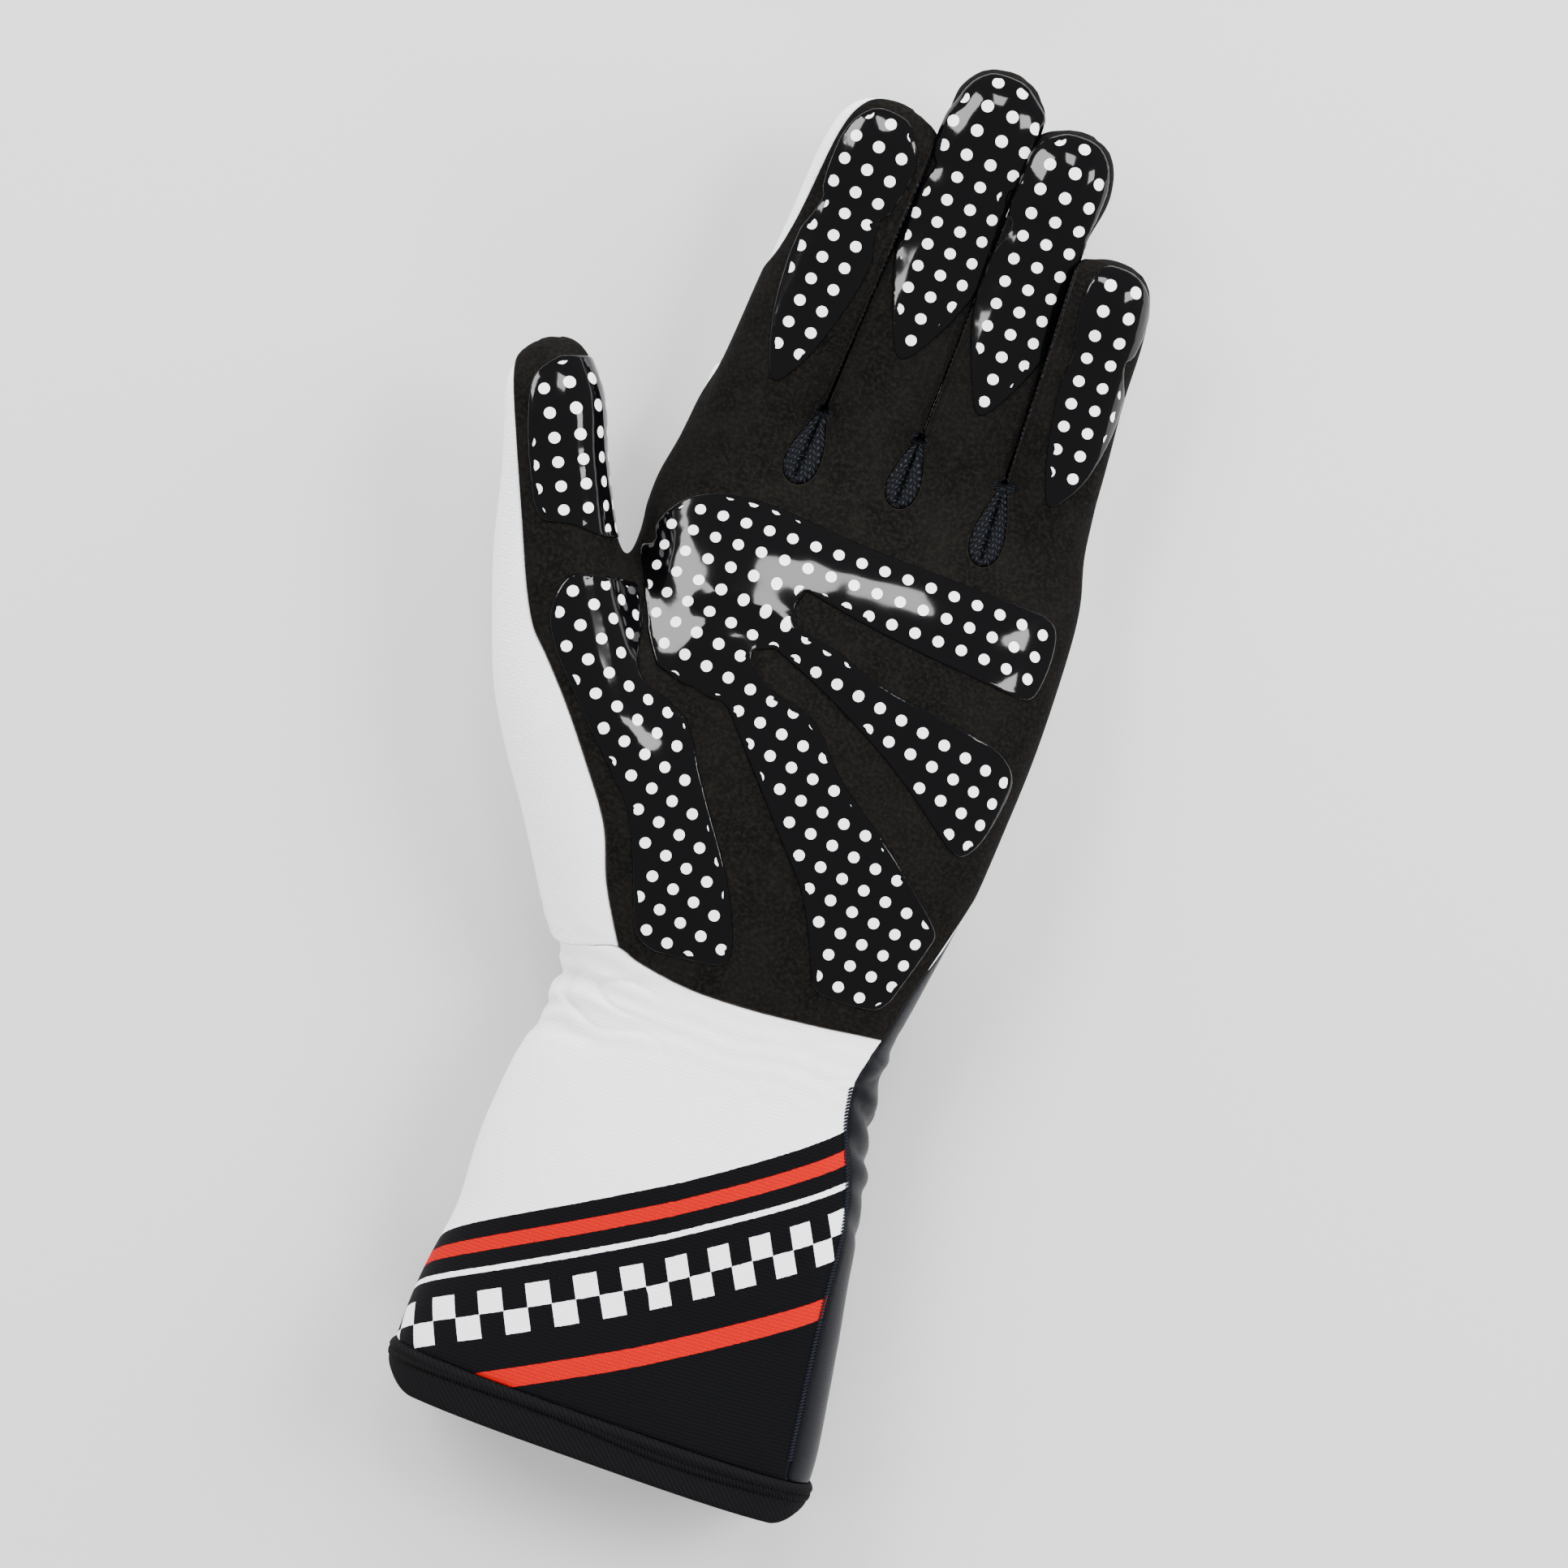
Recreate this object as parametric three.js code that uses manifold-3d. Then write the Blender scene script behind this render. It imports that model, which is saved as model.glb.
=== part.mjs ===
// A left-hand karting glove, lying on its back with the palm up. Millimetres, +Z up.
// +Y runs from the cuff to the fingertips and +X towards the little finger.
import * as THREE from "three";
import { mergeVertices } from "three/addons/utils/BufferGeometryUtils.js";
import Module from "manifold-3d";

const wasm = await Module();
wasm.setup();

// Driving sizes
const cuffLength = 100; // hem edge to wrist seam
const cuffWidth = 92.6;
const cuffDepth = 34;
const wristWidth = 74;
const wristDepth = 31;
const palmLength = 112; // wrist seam to finger roots
const palmWidth = 94;
const palmDepth = 36;
const fingerLength = 92; // the middle finger, from the crotch to its tip
const fingerWidth = 23.5; // the index finger
const fingerDepth = 23;
const fingerCurl = 12; // how far the fingertips rise
const thumbLength = 125.5;
const thumbWidth = 26;
const thumbDepth = 23;
const thumbLean = -24.7; // degrees from +Y, towards the thumb side
const thumbRise = 31; // height of the thumb tip's middle
const armShift = -1.7; // the cuff and wrist lie a little to the thumb side

const wall = 1.6; // cloth and suede
const seamGap = 0.3; // clear line between neighbouring pieces
const fingerSlit = 0.8; // air between two fingers that lie side by side
const gripThickness = 0.8;
const gripParting = 1.2; // suede left bare between two silicone patches
const hemHeight = 9.5;
const hemProud = 0.5; // the folded hem stands outside the cuff
const hemRake = 2.4; // the hem runs down towards the little finger
const foldDepth = 2.4;
const cupDepth = 2.2; // hollow of the palm
const gatherDepth = 0.9; // ripple of the elastic at the wrist
const gatherPitch = 6;
const floorPress = 0.9; // how much of each round section the floor flattens
const digitFooting = 0.15; // the digits lie this far above the back of the hand

// Facets of the outside and, plainer, of the hollow. Gathers are sampled at these phases of a ripple.
const outside = { bodySides: 24, digitSides: 12, phases: [0, 0.5], everyRow: 1 };
const inside = { bodySides: 16, digitSides: 10, phases: [0.5], everyRow: 2 };
const bodySquareness = 2.7;
const digitSquareness = 2.4;
const farAway = 400; // reach of cutting prisms past the glove

const table = (columns, rows) => rows.map((row) => Object.fromEntries(columns.map((name, i) => [name, row[i]])));

// Cuff sections: at is a share of the cuff's length, narrowing goes from cuff size (0) to wrist size (1).
const cuffSections = table(
  ["at", "narrowing"],
  [
    [0.0, 0.05],
    [0.14, 0.0],
    [0.36, 0.25],
    [0.5, 0.42],
    [0.62, 0.52],
    [0.74, 0.72],
    [0.83, 0.92],
    [0.92, 1.0],
    [1.0, 1.0],
  ],
);

// Palm sections: left and right go from wrist (0) to palm (1) half width, the last two columns pull the depth.
const palmSections = table(
  ["at", "left", "right", "nearWrist", "nearFingers"],
  [
    [0.0, 0.0, 0.0, 1.0, 0.0],
    [0.06, 0.35, 0.12, 0.8, 0.0],
    [0.15, 0.7, 0.3, 0.5, 0.0],
    [0.27, 0.9, 0.55, 0.2, 0.0],
    [0.45, 1.0, 0.78, 0.0, 0.0],
    [0.65, 1.0, 0.95, 0.0, 0.1],
    [0.8, 1.0, 1.0, 0.0, 0.35],
    [0.91, 0.95, 0.95, 0.0, 0.7],
    [1.0, 0.65, 0.72, 0.0, 0.95],
    [1.08, 0.5, 0.6, 0.0, 1.25],
    [1.15, 0.4, 0.45, 0.0, 1.7],
  ],
);

// Digit sections: at is a share of its length, left and right of half its width, lift of its curl or rise.
const fingerForm = table(
  ["at", "left", "right", "depth", "lift"],
  [
    [-0.22, 1.0, 1.0, 1.0, 0.0],
    [0.0, 1.0, 1.0, 1.0, 0.02],
    [0.2, 1.0, 1.0, 0.97, 0.08],
    [0.42, 0.99, 0.99, 0.94, 0.22],
    [0.6, 0.95, 0.95, 0.9, 0.4],
    [0.76, 0.96, 0.96, 0.88, 0.64],
    [0.86, 0.92, 0.92, 0.82, 0.8],
    [0.93, 0.8, 0.82, 0.68, 0.92],
    [0.975, 0.56, 0.6, 0.46, 0.98],
    [0.993, 0.34, 0.38, 0.26, 1.0],
    [1.0, 0.12, 0.14, 0.1, 1.0],
  ],
);
const thumbForm = table(
  ["at", "left", "right", "depth", "lift"],
  [
    [-0.05, 1.2, 1.3, 1.1, 0.47],
    [0.09, 1.4, 1.55, 1.3, 0.54],
    [0.22, 1.5, 1.5, 1.46, 0.61],
    [0.34, 1.62, 1.2, 1.5, 0.67],
    [0.45, 1.64, 0.92, 1.4, 0.73],
    [0.56, 1.5, 0.76, 1.22, 0.79],
    [0.68, 1.3, 0.66, 1.05, 0.85],
    [0.8, 1.0, 0.68, 0.97, 0.92],
    [0.88, 0.84, 0.76, 0.9, 0.96],
    [0.94, 0.72, 0.68, 0.72, 0.99],
    [0.98, 0.46, 0.52, 0.46, 1.0],
    [0.995, 0.22, 0.34, 0.24, 1.0],
    [1.0, 0.06, 0.16, 0.1, 1.0],
  ],
);

// Fingers: length and width are shares of fingerLength and fingerWidth, rootAcross of half the palm's width and
// rootAlong of its length. lean is in degrees. The last four columns place the grip patch on the finger, as shares
// of its length and half width.
const fingers = table(
  ["name", "length", "width", "rootAcross", "rootAlong", "lean", "gripFrom", "gripTo", "gripLeft", "gripRight"],
  [
    ["index", 0.865, 1.0, -0.66, 1.0, 8.0, 0.2, 0.96, 0.66, 0.66],
    ["middle", 1.0, 0.895, -0.15, 1.0, 5.0, 0.3, 0.98, 0.8, 0.86],
    ["ring", 0.91, 0.84, 0.28, 1.0, 4.0, 0.25, 0.98, 0.8, 0.84],
    ["little", 0.72, 0.815, 0.73, 0.94, -1.0, 0.2, 0.975, 0.45, 0.95],
  ],
);

// Finger crotches: foot is where the slit ends and tearLength how far the knit runs below it, as shares of the
// palm's length. tearWidth is a share of the palm's width.
const crotches = table(
  ["name", "left", "right", "foot", "tearLength", "tearWidth"],
  [
    ["fourchette_index_middle", 0, 1, 1.12, 0.17, 0.08],
    ["fourchette_middle_ring", 1, 2, 1.12, 0.16, 0.075],
    ["fourchette_ring_little", 2, 3, 1.08, 0.18, 0.075],
  ],
);

// Dents: along is a share of the cuff's length, across of half the palm's width, reaches likewise.
const dents = table(
  ["along", "across", "reachAlong", "reachAcross", "depth"],
  [
    [0.97, -0.78, 0.05, 0.25, 1.0],
    [0.86, -0.72, 0.04, 0.2, 0.7],
    [0.79, 0.78, 0.06, 0.16, 0.35],
    [0.64, 0.86, 0.06, 0.14, 0.3],
    [0.42, -0.9, 0.09, 0.25, 0.5],
    [0.3, 0.35, 0.16, 0.3, 0.4],
  ],
);

const halfPalm = palmWidth / 2;
const radians = THREE.MathUtils.degToRad;
const mix = THREE.MathUtils.lerp;

// A smooth value between the rows of a table.
function smooth(rows, column, at) {
  const last = rows.length - 1;
  let k = 0;
  while (k < last - 1 && at > rows[k + 1].at) k += 1;
  const slope = (i) => {
    const a = rows[Math.max(i - 1, 0)];
    const b = rows[Math.min(i + 1, last)];
    return (b[column] - a[column]) / (b.at - a.at);
  };
  const span = rows[k + 1].at - rows[k].at;
  const t = THREE.MathUtils.clamp((at - rows[k].at) / span, 0, 1);
  const value = (2 * t ** 3 - 3 * t ** 2 + 1) * rows[k][column] + (3 * t ** 2 - 2 * t ** 3) * rows[k + 1][column];
  return value + span * ((t ** 3 - 2 * t ** 2 + t) * slope(k) + (t ** 3 - t ** 2) * slope(k + 1));
}

// How far the surface is pressed in at a place seen from above.
function dentAt(x, y) {
  let depth = 0;
  for (const dent of dents) {
    const along = (y / cuffLength - dent.along) / dent.reachAlong;
    const across = (x / halfPalm - dent.across) / dent.reachAcross;
    depth += foldDepth * dent.depth * Math.exp(-(along ** 2) - across ** 2);
  }
  return depth;
}

function gatherAt(y) {
  const envelope = Math.exp(-(((y - 0.93 * cuffLength) / (2.2 * gatherPitch)) ** 2));
  return gatherDepth * envelope * (0.5 - 0.5 * Math.cos((2 * Math.PI * y) / gatherPitch));
}

function cupAt(x, y) {
  const along = (y - cuffLength - 0.5 * palmLength) / (0.32 * palmLength);
  const across = (x - 0.05 * halfPalm) / (0.45 * halfPalm);
  return cupDepth * Math.exp(-(along ** 2) - across ** 2);
}

// One closed ring of points round a section, flattened where it meets the floor.
function sectionRing(section, sides, squareness, offset) {
  const points = [];
  for (let i = 0; i < sides; i += 1) {
    const angle = (2 * Math.PI * (i + 0.5)) / sides;
    const cos = Math.cos(angle);
    const sin = Math.sin(angle);
    const half = (cos < 0 ? section.left : section.right) + offset;
    const across = Math.sign(cos) * Math.abs(cos) ** (2 / squareness) * half;
    const rise = Math.sign(sin) * Math.abs(sin) ** (2 / squareness) * (section.depth / 2 + offset);
    points.push(section.place(across, rise, offset));
  }
  return points;
}

function bodySection(y) {
  const inCuff = y <= cuffLength;
  const at = inCuff ? y / cuffLength : (y - cuffLength) / palmLength;
  const narrowing = inCuff ? smooth(cuffSections, "narrowing", at) : 1;
  const armHalf = mix(cuffWidth, wristWidth, narrowing) / 2 - gatherAt(y);
  const armDepth = mix(cuffDepth, wristDepth, narrowing) - gatherAt(y);
  const palm = (column) => (inCuff ? 0 : smooth(palmSections, column, at));
  const left = mix(armHalf - armShift, halfPalm, palm("left"));
  const right = mix(armHalf + armShift, halfPalm, palm("right"));
  const wristPull = palm("nearWrist") * (armDepth - palmDepth);
  const fingerPull = palm("nearFingers") * (fingerDepth - palmDepth);
  const depth = inCuff ? armDepth : palmDepth + wristPull + fingerPull;
  const rake = Math.max(0, 1 - y / (0.5 * cuffLength)) * hemRake;
  const place = (across, rise, offset) => {
    const pressed = 1 - dentAt(across, y) / Math.hypot(across, rise);
    const dip = rise > 0 ? cupAt(across, y) : 0;
    const z = depth / 2 - floorPress + rise * pressed - dip;
    return new THREE.Vector3(across * pressed, y - (rake * across) / armHalf, Math.max(z, -offset, 0));
  };
  return { left, right, depth, place };
}

// Levels along the body: close together over the gathers, wider over the cuff and palm.
function bodyLevels(facets, offset = 0) {
  const levels = [0, 0.14, 0.3, 0.44, 0.58, 0.7].map((share) => share * cuffLength);
  const firstGather = Math.ceil((0.77 * cuffLength) / gatherPitch);
  const lastGather = Math.floor((1.04 * cuffLength) / gatherPitch);
  for (let n = firstGather; n < lastGather; n += 1) {
    levels.push(...facets.phases.map((phase) => (n + phase) * gatherPitch));
  }
  const palmShares = [0.1, 0.22, 0.34, 0.46, 0.58, 0.7, 0.81, 0.91, 1.0, 1.08];
  levels.push(...palmShares.map((share) => cuffLength + share * palmLength));
  return levels.concat(cuffLength + 1.15 * palmLength + offset);
}

function digitFrame(digit) {
  const lean = radians(digit.lean);
  return {
    root: new THREE.Vector2(digit.rootAcross * halfPalm, cuffLength + digit.rootAlong * palmLength),
    along: new THREE.Vector2(Math.sin(lean), Math.cos(lean)),
    across: new THREE.Vector2(Math.cos(lean), -Math.sin(lean)),
  };
}

// The place, seen from above, of a point given in shares of the digit's length and half width.
function onDigit(digit, along, across) {
  const frame = digitFrame(digit);
  const point = frame.root.clone().addScaledVector(frame.along, along * digit.length);
  return point.addScaledVector(frame.across, (across * digit.width) / 2);
}

function digitSection(digit, at, offset) {
  const frame = digitFrame(digit);
  const form = (column) => smooth(digit.form, column, at);
  const distance = at * (digit.length + Math.max(at, 0) * offset);
  const middle = frame.root.clone().addScaledVector(frame.along, distance);
  const height = digit.restHeight + digit.rise * form("lift");
  const place = (across, rise, grown) => {
    const point = middle.clone().addScaledVector(frame.across, across);
    return new THREE.Vector3(point.x, point.y, Math.max(height + rise, digitFooting - grown, digitFooting));
  };
  const half = digit.width / 2;
  return { left: form("left") * half, right: form("right") * half, depth: form("depth") * digit.depth, place };
}

const digitShares = (digit, facets) =>
  digit.form.filter((row, i) => i % facets.everyRow === 0).map((row) => row.at);

// Solids from rings of points and from outlines seen from above
function toSolid(geometry) {
  geometry.deleteAttribute("normal");
  geometry.deleteAttribute("uv");
  const merged = mergeVertices(geometry, 1e-4);
  const mesh = new wasm.Mesh({
    numProp: 3,
    vertProperties: new Float32Array(merged.attributes.position.array),
    triVerts: new Uint32Array(merged.index.array),
  });
  return new wasm.Manifold(mesh);
}

function loft(rings) {
  const sides = rings[0].length;
  const centre = (ring) => ring.reduce((sum, p) => sum.add(p), new THREE.Vector3()).divideScalar(sides);
  const points = rings.flat().concat([centre(rings[0]), centre(rings.at(-1))]);
  const start = rings.length * sides;
  const faces = [];
  for (let j = 0; j < sides; j += 1) {
    const next = (j + 1) % sides;
    faces.push(start, j, next);
    for (let i = 0; i < rings.length - 1; i += 1) {
      const a = i * sides;
      const b = a + sides;
      faces.push(a + j, b + j, a + next, a + next, b + j, b + next);
    }
    const end = start - sides;
    faces.push(start + 1, end + next, end + j);
  }
  const geometry = new THREE.BufferGeometry().setFromPoints(points);
  geometry.setIndex(faces);
  return toSolid(geometry);
}

function prism(points, low = -farAway, high = farAway) {
  const geometry = new THREE.ExtrudeGeometry(new THREE.Shape(points), { depth: high - low, bevelEnabled: false });
  geometry.translate(0, 0, low);
  return toSolid(geometry);
}

// An outline moved outwards by a distance, or inwards where it is negative.
function grow(points, distance) {
  const turn = THREE.ShapeUtils.area(points) > 0 ? 1 : -1;
  return points.map((point, i) => {
    const before = point.clone().sub(points.at(i - 1)).normalize();
    const after = points[(i + 1) % points.length].clone().sub(point).normalize();
    const normal = new THREE.Vector2(before.y + after.y, -before.x - after.x).normalize();
    const spread = Math.max(0.5, normal.dot(new THREE.Vector2(after.y, -after.x)));
    return point.clone().addScaledVector(normal, (turn * distance) / spread);
  });
}

// A closed outline of smooth edges. A corner lies where one edge ends and the next starts.
function chain(edges, place, steps = 2) {
  const points = [];
  edges.forEach((edge, i) => {
    const from = edges.at(i - 1).at(-1);
    const curve = new THREE.SplineCurve([from, ...edge].map(([along, across]) => place(along, across)));
    points.push(...curve.getPoints(edge.length * (edge.length > 1 ? steps : 1)).slice(1));
  });
  return points;
}

const largest = (solid) => solid.decompose().reduce((a, b) => (b.volume() > a.volume() ? b : a));
const union = (solids) => solids.reduce((a, b) => a.add(b));

// Cuts a solid in two along an outline seen from above, with a seam's gap between the halves.
function split(solid, outline) {
  const kept = solid.intersect(prism(grow(outline, -seamGap / 2)));
  const rest = solid.subtract(prism(grow(outline, seamGap / 2)));
  return [kept, rest];
}

// The digits, with what differs between fingers and thumb
const fingerDigits = fingers.map((finger) => ({
  ...finger,
  length: finger.length * fingerLength,
  width: finger.width * fingerWidth,
  form: fingerForm,
  depth: fingerDepth,
  rise: fingerCurl,
  restHeight: fingerDepth / 2 - floorPress,
}));
const thumb = {
  name: "thumb",
  length: thumbLength,
  width: thumbWidth,
  depth: thumbDepth,
  rootAcross: -0.51,
  rootAlong: 0.07,
  lean: thumbLean,
  form: thumbForm,
  rise: thumbRise,
  restHeight: 0,
};
const digits = [...fingerDigits, thumb];

const bodyTube = (offset, facets) =>
  loft(
    bodyLevels(facets, offset).map((y) => sectionRing(bodySection(y), facets.bodySides, bodySquareness, offset)),
  );

const digitTube = (digit, offset, facets) =>
  loft(
    digitShares(digit, facets).map((at) => {
      const section = digitSection(digit, at, offset);
      const shrink = Math.max(offset, -0.6 * Math.min(section.left, section.right, section.depth / 2));
      return sectionRing(section, facets.digitSides, digitSquareness, shrink);
    }),
  );

function handForm(offset, facets = outside) {
  return union([bodyTube(offset, facets), ...digits.map((digit) => digitTube(digit, offset, facets))]);
}

// Everything above the middle of each section, raised by a little. It tells the palm side from the back.
function upperHalf(raise) {
  const slab = (section) => {
    const corners = [
      [section.right * 1.3, raise],
      [section.right * 1.3, farAway],
      [-section.left * 1.3, farAway],
      [-section.left * 1.3, raise],
    ];
    return corners.map(([across, rise]) => section.place(across, rise, 0));
  };
  const bodySlabs = bodyLevels(inside).map((y) => slab({ ...bodySection(y), place: flatPlace(y) }));
  const digitSlabs = digits.map((digit) => {
    const slabs = digitShares(digit, inside).map((at) => slab(digitSection(digit, at, 0)));
    slabs.push(slab({ ...digitSection(digit, 1, 4 * wall), left: digit.width / 4, right: digit.width / 4 }));
    return loft(slabs);
  });
  return union([loft(bodySlabs), ...digitSlabs]);
}

function flatPlace(y) {
  const middle = bodySection(y).depth / 2 - floorPress;
  return (across, rise) => new THREE.Vector3(across, y, middle + rise);
}

// The line between two neighbouring fingers, halfway between their facing edges.
function slitLine(crotch) {
  const edgeAt = (digit, side, y) => {
    const { root } = digitFrame(digit);
    const lean = radians(digit.lean);
    return root.x + Math.tan(lean) * (y - root.y) + (side * digit.width) / 2 / Math.cos(lean);
  };
  const a = fingerDigits[crotch.left];
  const b = fingerDigits[crotch.right];
  const point = (y) => new THREE.Vector2((edgeAt(a, 1, y) + edgeAt(b, -1, y)) / 2, y);
  const foot = cuffLength + crotch.foot * palmLength;
  const reach = cuffLength + palmLength + Math.max(a.length, b.length) * 1.1;
  return [point(foot), point(reach)];
}

function strip([foot, end], half, below) {
  const along = end.clone().sub(foot).normalize();
  const across = new THREE.Vector2(along.y, -along.x);
  const corner = (point, side, back) =>
    point.clone().addScaledVector(across, side * half).addScaledVector(along, -back);
  return [corner(foot, 1, below), corner(end, 1, 0), corner(end, -1, 0), corner(foot, -1, below)];
}

// The teardrop of knit below a slit: pointed at the top and round at the bottom.
function teardrop(crotch, grown) {
  const [foot, end] = slitLine(crotch);
  const along = end.clone().sub(foot).normalize();
  const across = new THREE.Vector2(along.y, -along.x);
  const steps = 20;
  const fullest = 0.7; // largest value of the formula below
  const points = [];
  for (let i = 0; i < steps; i += 1) {
    const t = (2 * Math.PI * (i + 0.5)) / steps;
    const side = Math.sin(t) * Math.abs(Math.sin(t / 2)) ** 1.5;
    const down = (crotch.tearLength * palmLength + 2 * grown) * (0.5 - 0.5 * Math.cos(t)) - grown - wall;
    const point = foot.clone().addScaledVector(along, -down);
    points.push(point.addScaledVector(across, (side / fullest) * ((crotch.tearWidth * palmWidth) / 2 + grown)));
  }
  return points;
}

const fourchetteCutter = (crotch, grown) =>
  prism(strip(slitLine(crotch), fingerSlit / 2 + wall + grown, 0)).add(prism(teardrop(crotch, grown)));

// Places on the palm, in shares of its length and half width, and on the cuff
const onPalm = (along, across) => new THREE.Vector2(across * halfPalm, cuffLength + along * palmLength);
const onThumb = (along, across) => onDigit(thumb, along, across);
const onCuff = (along, across) => new THREE.Vector2((across * cuffWidth) / 2, along * cuffLength);

// The seam at the wrist, from the thumb side to the little-finger side.
const wristSeam = [
  onPalm(0.01, -1.3),
  onPalm(0.01, -0.83),
  onPalm(0.04, -0.58),
  onPalm(0.025, -0.45),
  onPalm(0.005, -0.22),
  onPalm(0.0, 0.06),
  onPalm(0.005, 0.4),
  onPalm(0.012, 0.68),
  onPalm(0.02, 1.4),
];
const cuffOutline = [onCuff(-0.5, -1.6), onCuff(-0.5, 1.6), ...[...wristSeam].reverse()];

// The suede seen from above: wrist seam, little-finger side, fingers, and the seam along the thumb.
const index = fingerDigits[0];
const suedeOutline = [
  onPalm(-0.05, -0.45),
  onPalm(-0.05, 0.72),
  onPalm(0.1, 0.75),
  onPalm(0.3, 0.9),
  onPalm(0.36, 0.96),
  onPalm(0.42, 1.4),
  onPalm(2.0, 1.4),
  onDigit(index, 1.4, 1.0),
  onDigit(index, 1.02, 0.5),
  onDigit(index, 0.985, 0.0),
  onDigit(index, 0.95, -0.48),
  onDigit(index, 0.86, -0.72),
  onDigit(index, 0.6, -0.84),
  onDigit(index, 0.48, -1.02),
  onDigit(index, 0.4, -1.5),
  onThumb(1.15, 0.3),
  onThumb(0.99, -0.1),
  onThumb(0.95, -0.5),
  onThumb(0.84, -0.65),
  onThumb(0.7, -0.78),
  onThumb(0.6, -0.85),
  onThumb(0.53, -0.84),
  onThumb(0.48, -0.7),
  onThumb(0.4, -0.5),
  onThumb(0.3, -0.32),
  onThumb(0.19, -0.18),
  onThumb(0.09, -0.28),
  onThumb(-0.02, -0.25),
];

// The gusset on the little-finger side, from the hem to a point beside the palm.
const gussetOutline = [
  onCuff(-0.3, 0.86),
  onCuff(0.1, 0.85),
  onCuff(0.3, 0.82),
  onCuff(0.45, 0.8),
  onCuff(0.6, 0.79),
  onCuff(0.7, 0.75),
  onCuff(0.77, 0.7),
  onCuff(0.83, 0.66),
  onCuff(0.9, 0.64),
  onCuff(0.95, 0.66),
  onPalm(0.02, 0.7),
  onPalm(0.1, 0.75),
  onPalm(0.2, 0.84),
  onPalm(0.3, 0.91),
  onPalm(0.37, 1.0),
  onPalm(0.4, 1.4),
  onCuff(-0.3, 1.6),
];

// The lower edge of the cuff above its hem, which follows the raked hem.
const hemLine = (across) => onCuff((hemHeight - hemRake * across) / cuffLength, across);
const hemOutline = [onCuff(-0.5, -1.6), onCuff(-0.5, 1.6), ...[1.6, 0.5, -0.5, -1.6].map(hemLine)];

// Silicone across the palm: two bands and a wedge, joined at the thumb side.
const palmGripEdges = [
  [[0.84, -0.91], [0.89, -0.8], [0.915, -0.6], [0.905, -0.3], [0.885, 0.05], [0.86, 0.84]],
  [[0.84, 0.91], [0.78, 0.93], [0.71, 0.9], [0.695, 0.84]],
  [[0.72, 0.43], [0.75, 0.05], [0.775, -0.2]],
  [[0.74, -0.23], [0.705, -0.2]],
  [[0.685, 0.0], [0.64, 0.29], [0.6, 0.75], [0.57, 0.88]],
  [[0.53, 0.91], [0.43, 0.86], [0.385, 0.79], [0.39, 0.72]],
  [[0.5, 0.4], [0.59, 0.06], [0.655, -0.26]],
  [[0.64, -0.35], [0.615, -0.34]],
  [[0.58, -0.22], [0.545, 0.0], [0.455, 0.19], [0.36, 0.47], [0.27, 0.7]],
  [[0.235, 0.77], [0.2, 0.76], [0.09, 0.67]],
  [[0.063, 0.6], [0.063, 0.38], [0.08, 0.31]],
  [[0.15, 0.25], [0.24, 0.15], [0.32, 0.0], [0.41, -0.17], [0.5, -0.34]],
  [[0.53, -0.42], [0.545, -0.62], [0.56, -0.75]],
  [[0.63, -0.85], [0.7, -0.9], [0.77, -0.97]],
];

// Silicone on the ball of the thumb and on the thumb itself, in shares of the thumb.
const thenarGripEdges = [
  [[0.6, 0.15], [0.59, 0.65]],
  [[0.565, 0.84], [0.52, 0.85], [0.46, 0.72], [0.42, 0.74], [0.385, 1.0], [0.34, 1.36]],
  [[0.2, 1.5], [0.07, 1.64], [-0.03, 1.6]],
  [[-0.065, 1.45], [-0.065, 1.15], [-0.03, 0.3]],
  [[0.0, 0.08], [0.05, 0.1], [0.19, 0.24], [0.27, 0.08], [0.37, -0.22], [0.48, -0.52]],
  [[0.54, -0.54], [0.59, -0.3], [0.605, -0.05]],
];
const thumbGripEdges = [
  [[0.962, 0.2], [0.935, -0.24], [0.87, -0.42], [0.8, -0.5], [0.73, -0.53]],
  [[0.7, -0.42], [0.685, 0.0], [0.66, 0.5], [0.655, 1.2]],
  [[0.95, 1.4]],
  [[0.962, 0.2]],
];

// The patch that every finger has, from its foot (0) to its top (1), with a notch at the joint.
const fingerGripEdges = [
  [[0.99, 0.45], [0.94, 0.82], [0.86, 1.0], [0.76, 1.0]],
  [[0.68, 0.92], [0.65, 0.8], [0.6, 0.84], [0.52, 1.0]],
  [[0.36, 0.96], [0.16, 0.68], [0.04, 0.3], [0.0, 0.0], [0.05, -0.3], [0.2, -0.72], [0.38, -0.96], [0.52, -1.0]],
  [[0.6, -0.84], [0.65, -0.8], [0.68, -0.92], [0.76, -1.0]],
  [[0.86, -1.0], [0.94, -0.82], [0.99, -0.45], [1.0, 0.0]],
];

function fingerGripOutline(finger) {
  const place = (along, across) => {
    const half = across < 0 ? finger.gripLeft : finger.gripRight;
    return onDigit(finger, mix(finger.gripFrom, finger.gripTo, along), across * half);
  };
  return chain(fingerGripEdges, place, 2);
}

// Each patch gives way to the ones that are named before it.
const grips = [
  ...fingerDigits.map((finger) => ({ name: `${finger.name}_grip`, outline: fingerGripOutline(finger) })),
  { name: "thenar_grip", outline: chain(thenarGripEdges, onThumb) },
  { name: "thumb_grip", outline: chain(thumbGripEdges, onThumb) },
  { name: "palm_grip", outline: chain(palmGripEdges, onPalm) },
];

function gripSolid(grip, order) {
  const earlier = grips.slice(fingers.length, order).map((other) => prism(grow(other.outline, gripParting)));
  const patch = gripLayer.intersect(prism(grip.outline));
  return order < fingers.length ? patch : earlier.reduce((rest, cut) => rest.subtract(cut), patch);
}

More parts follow.
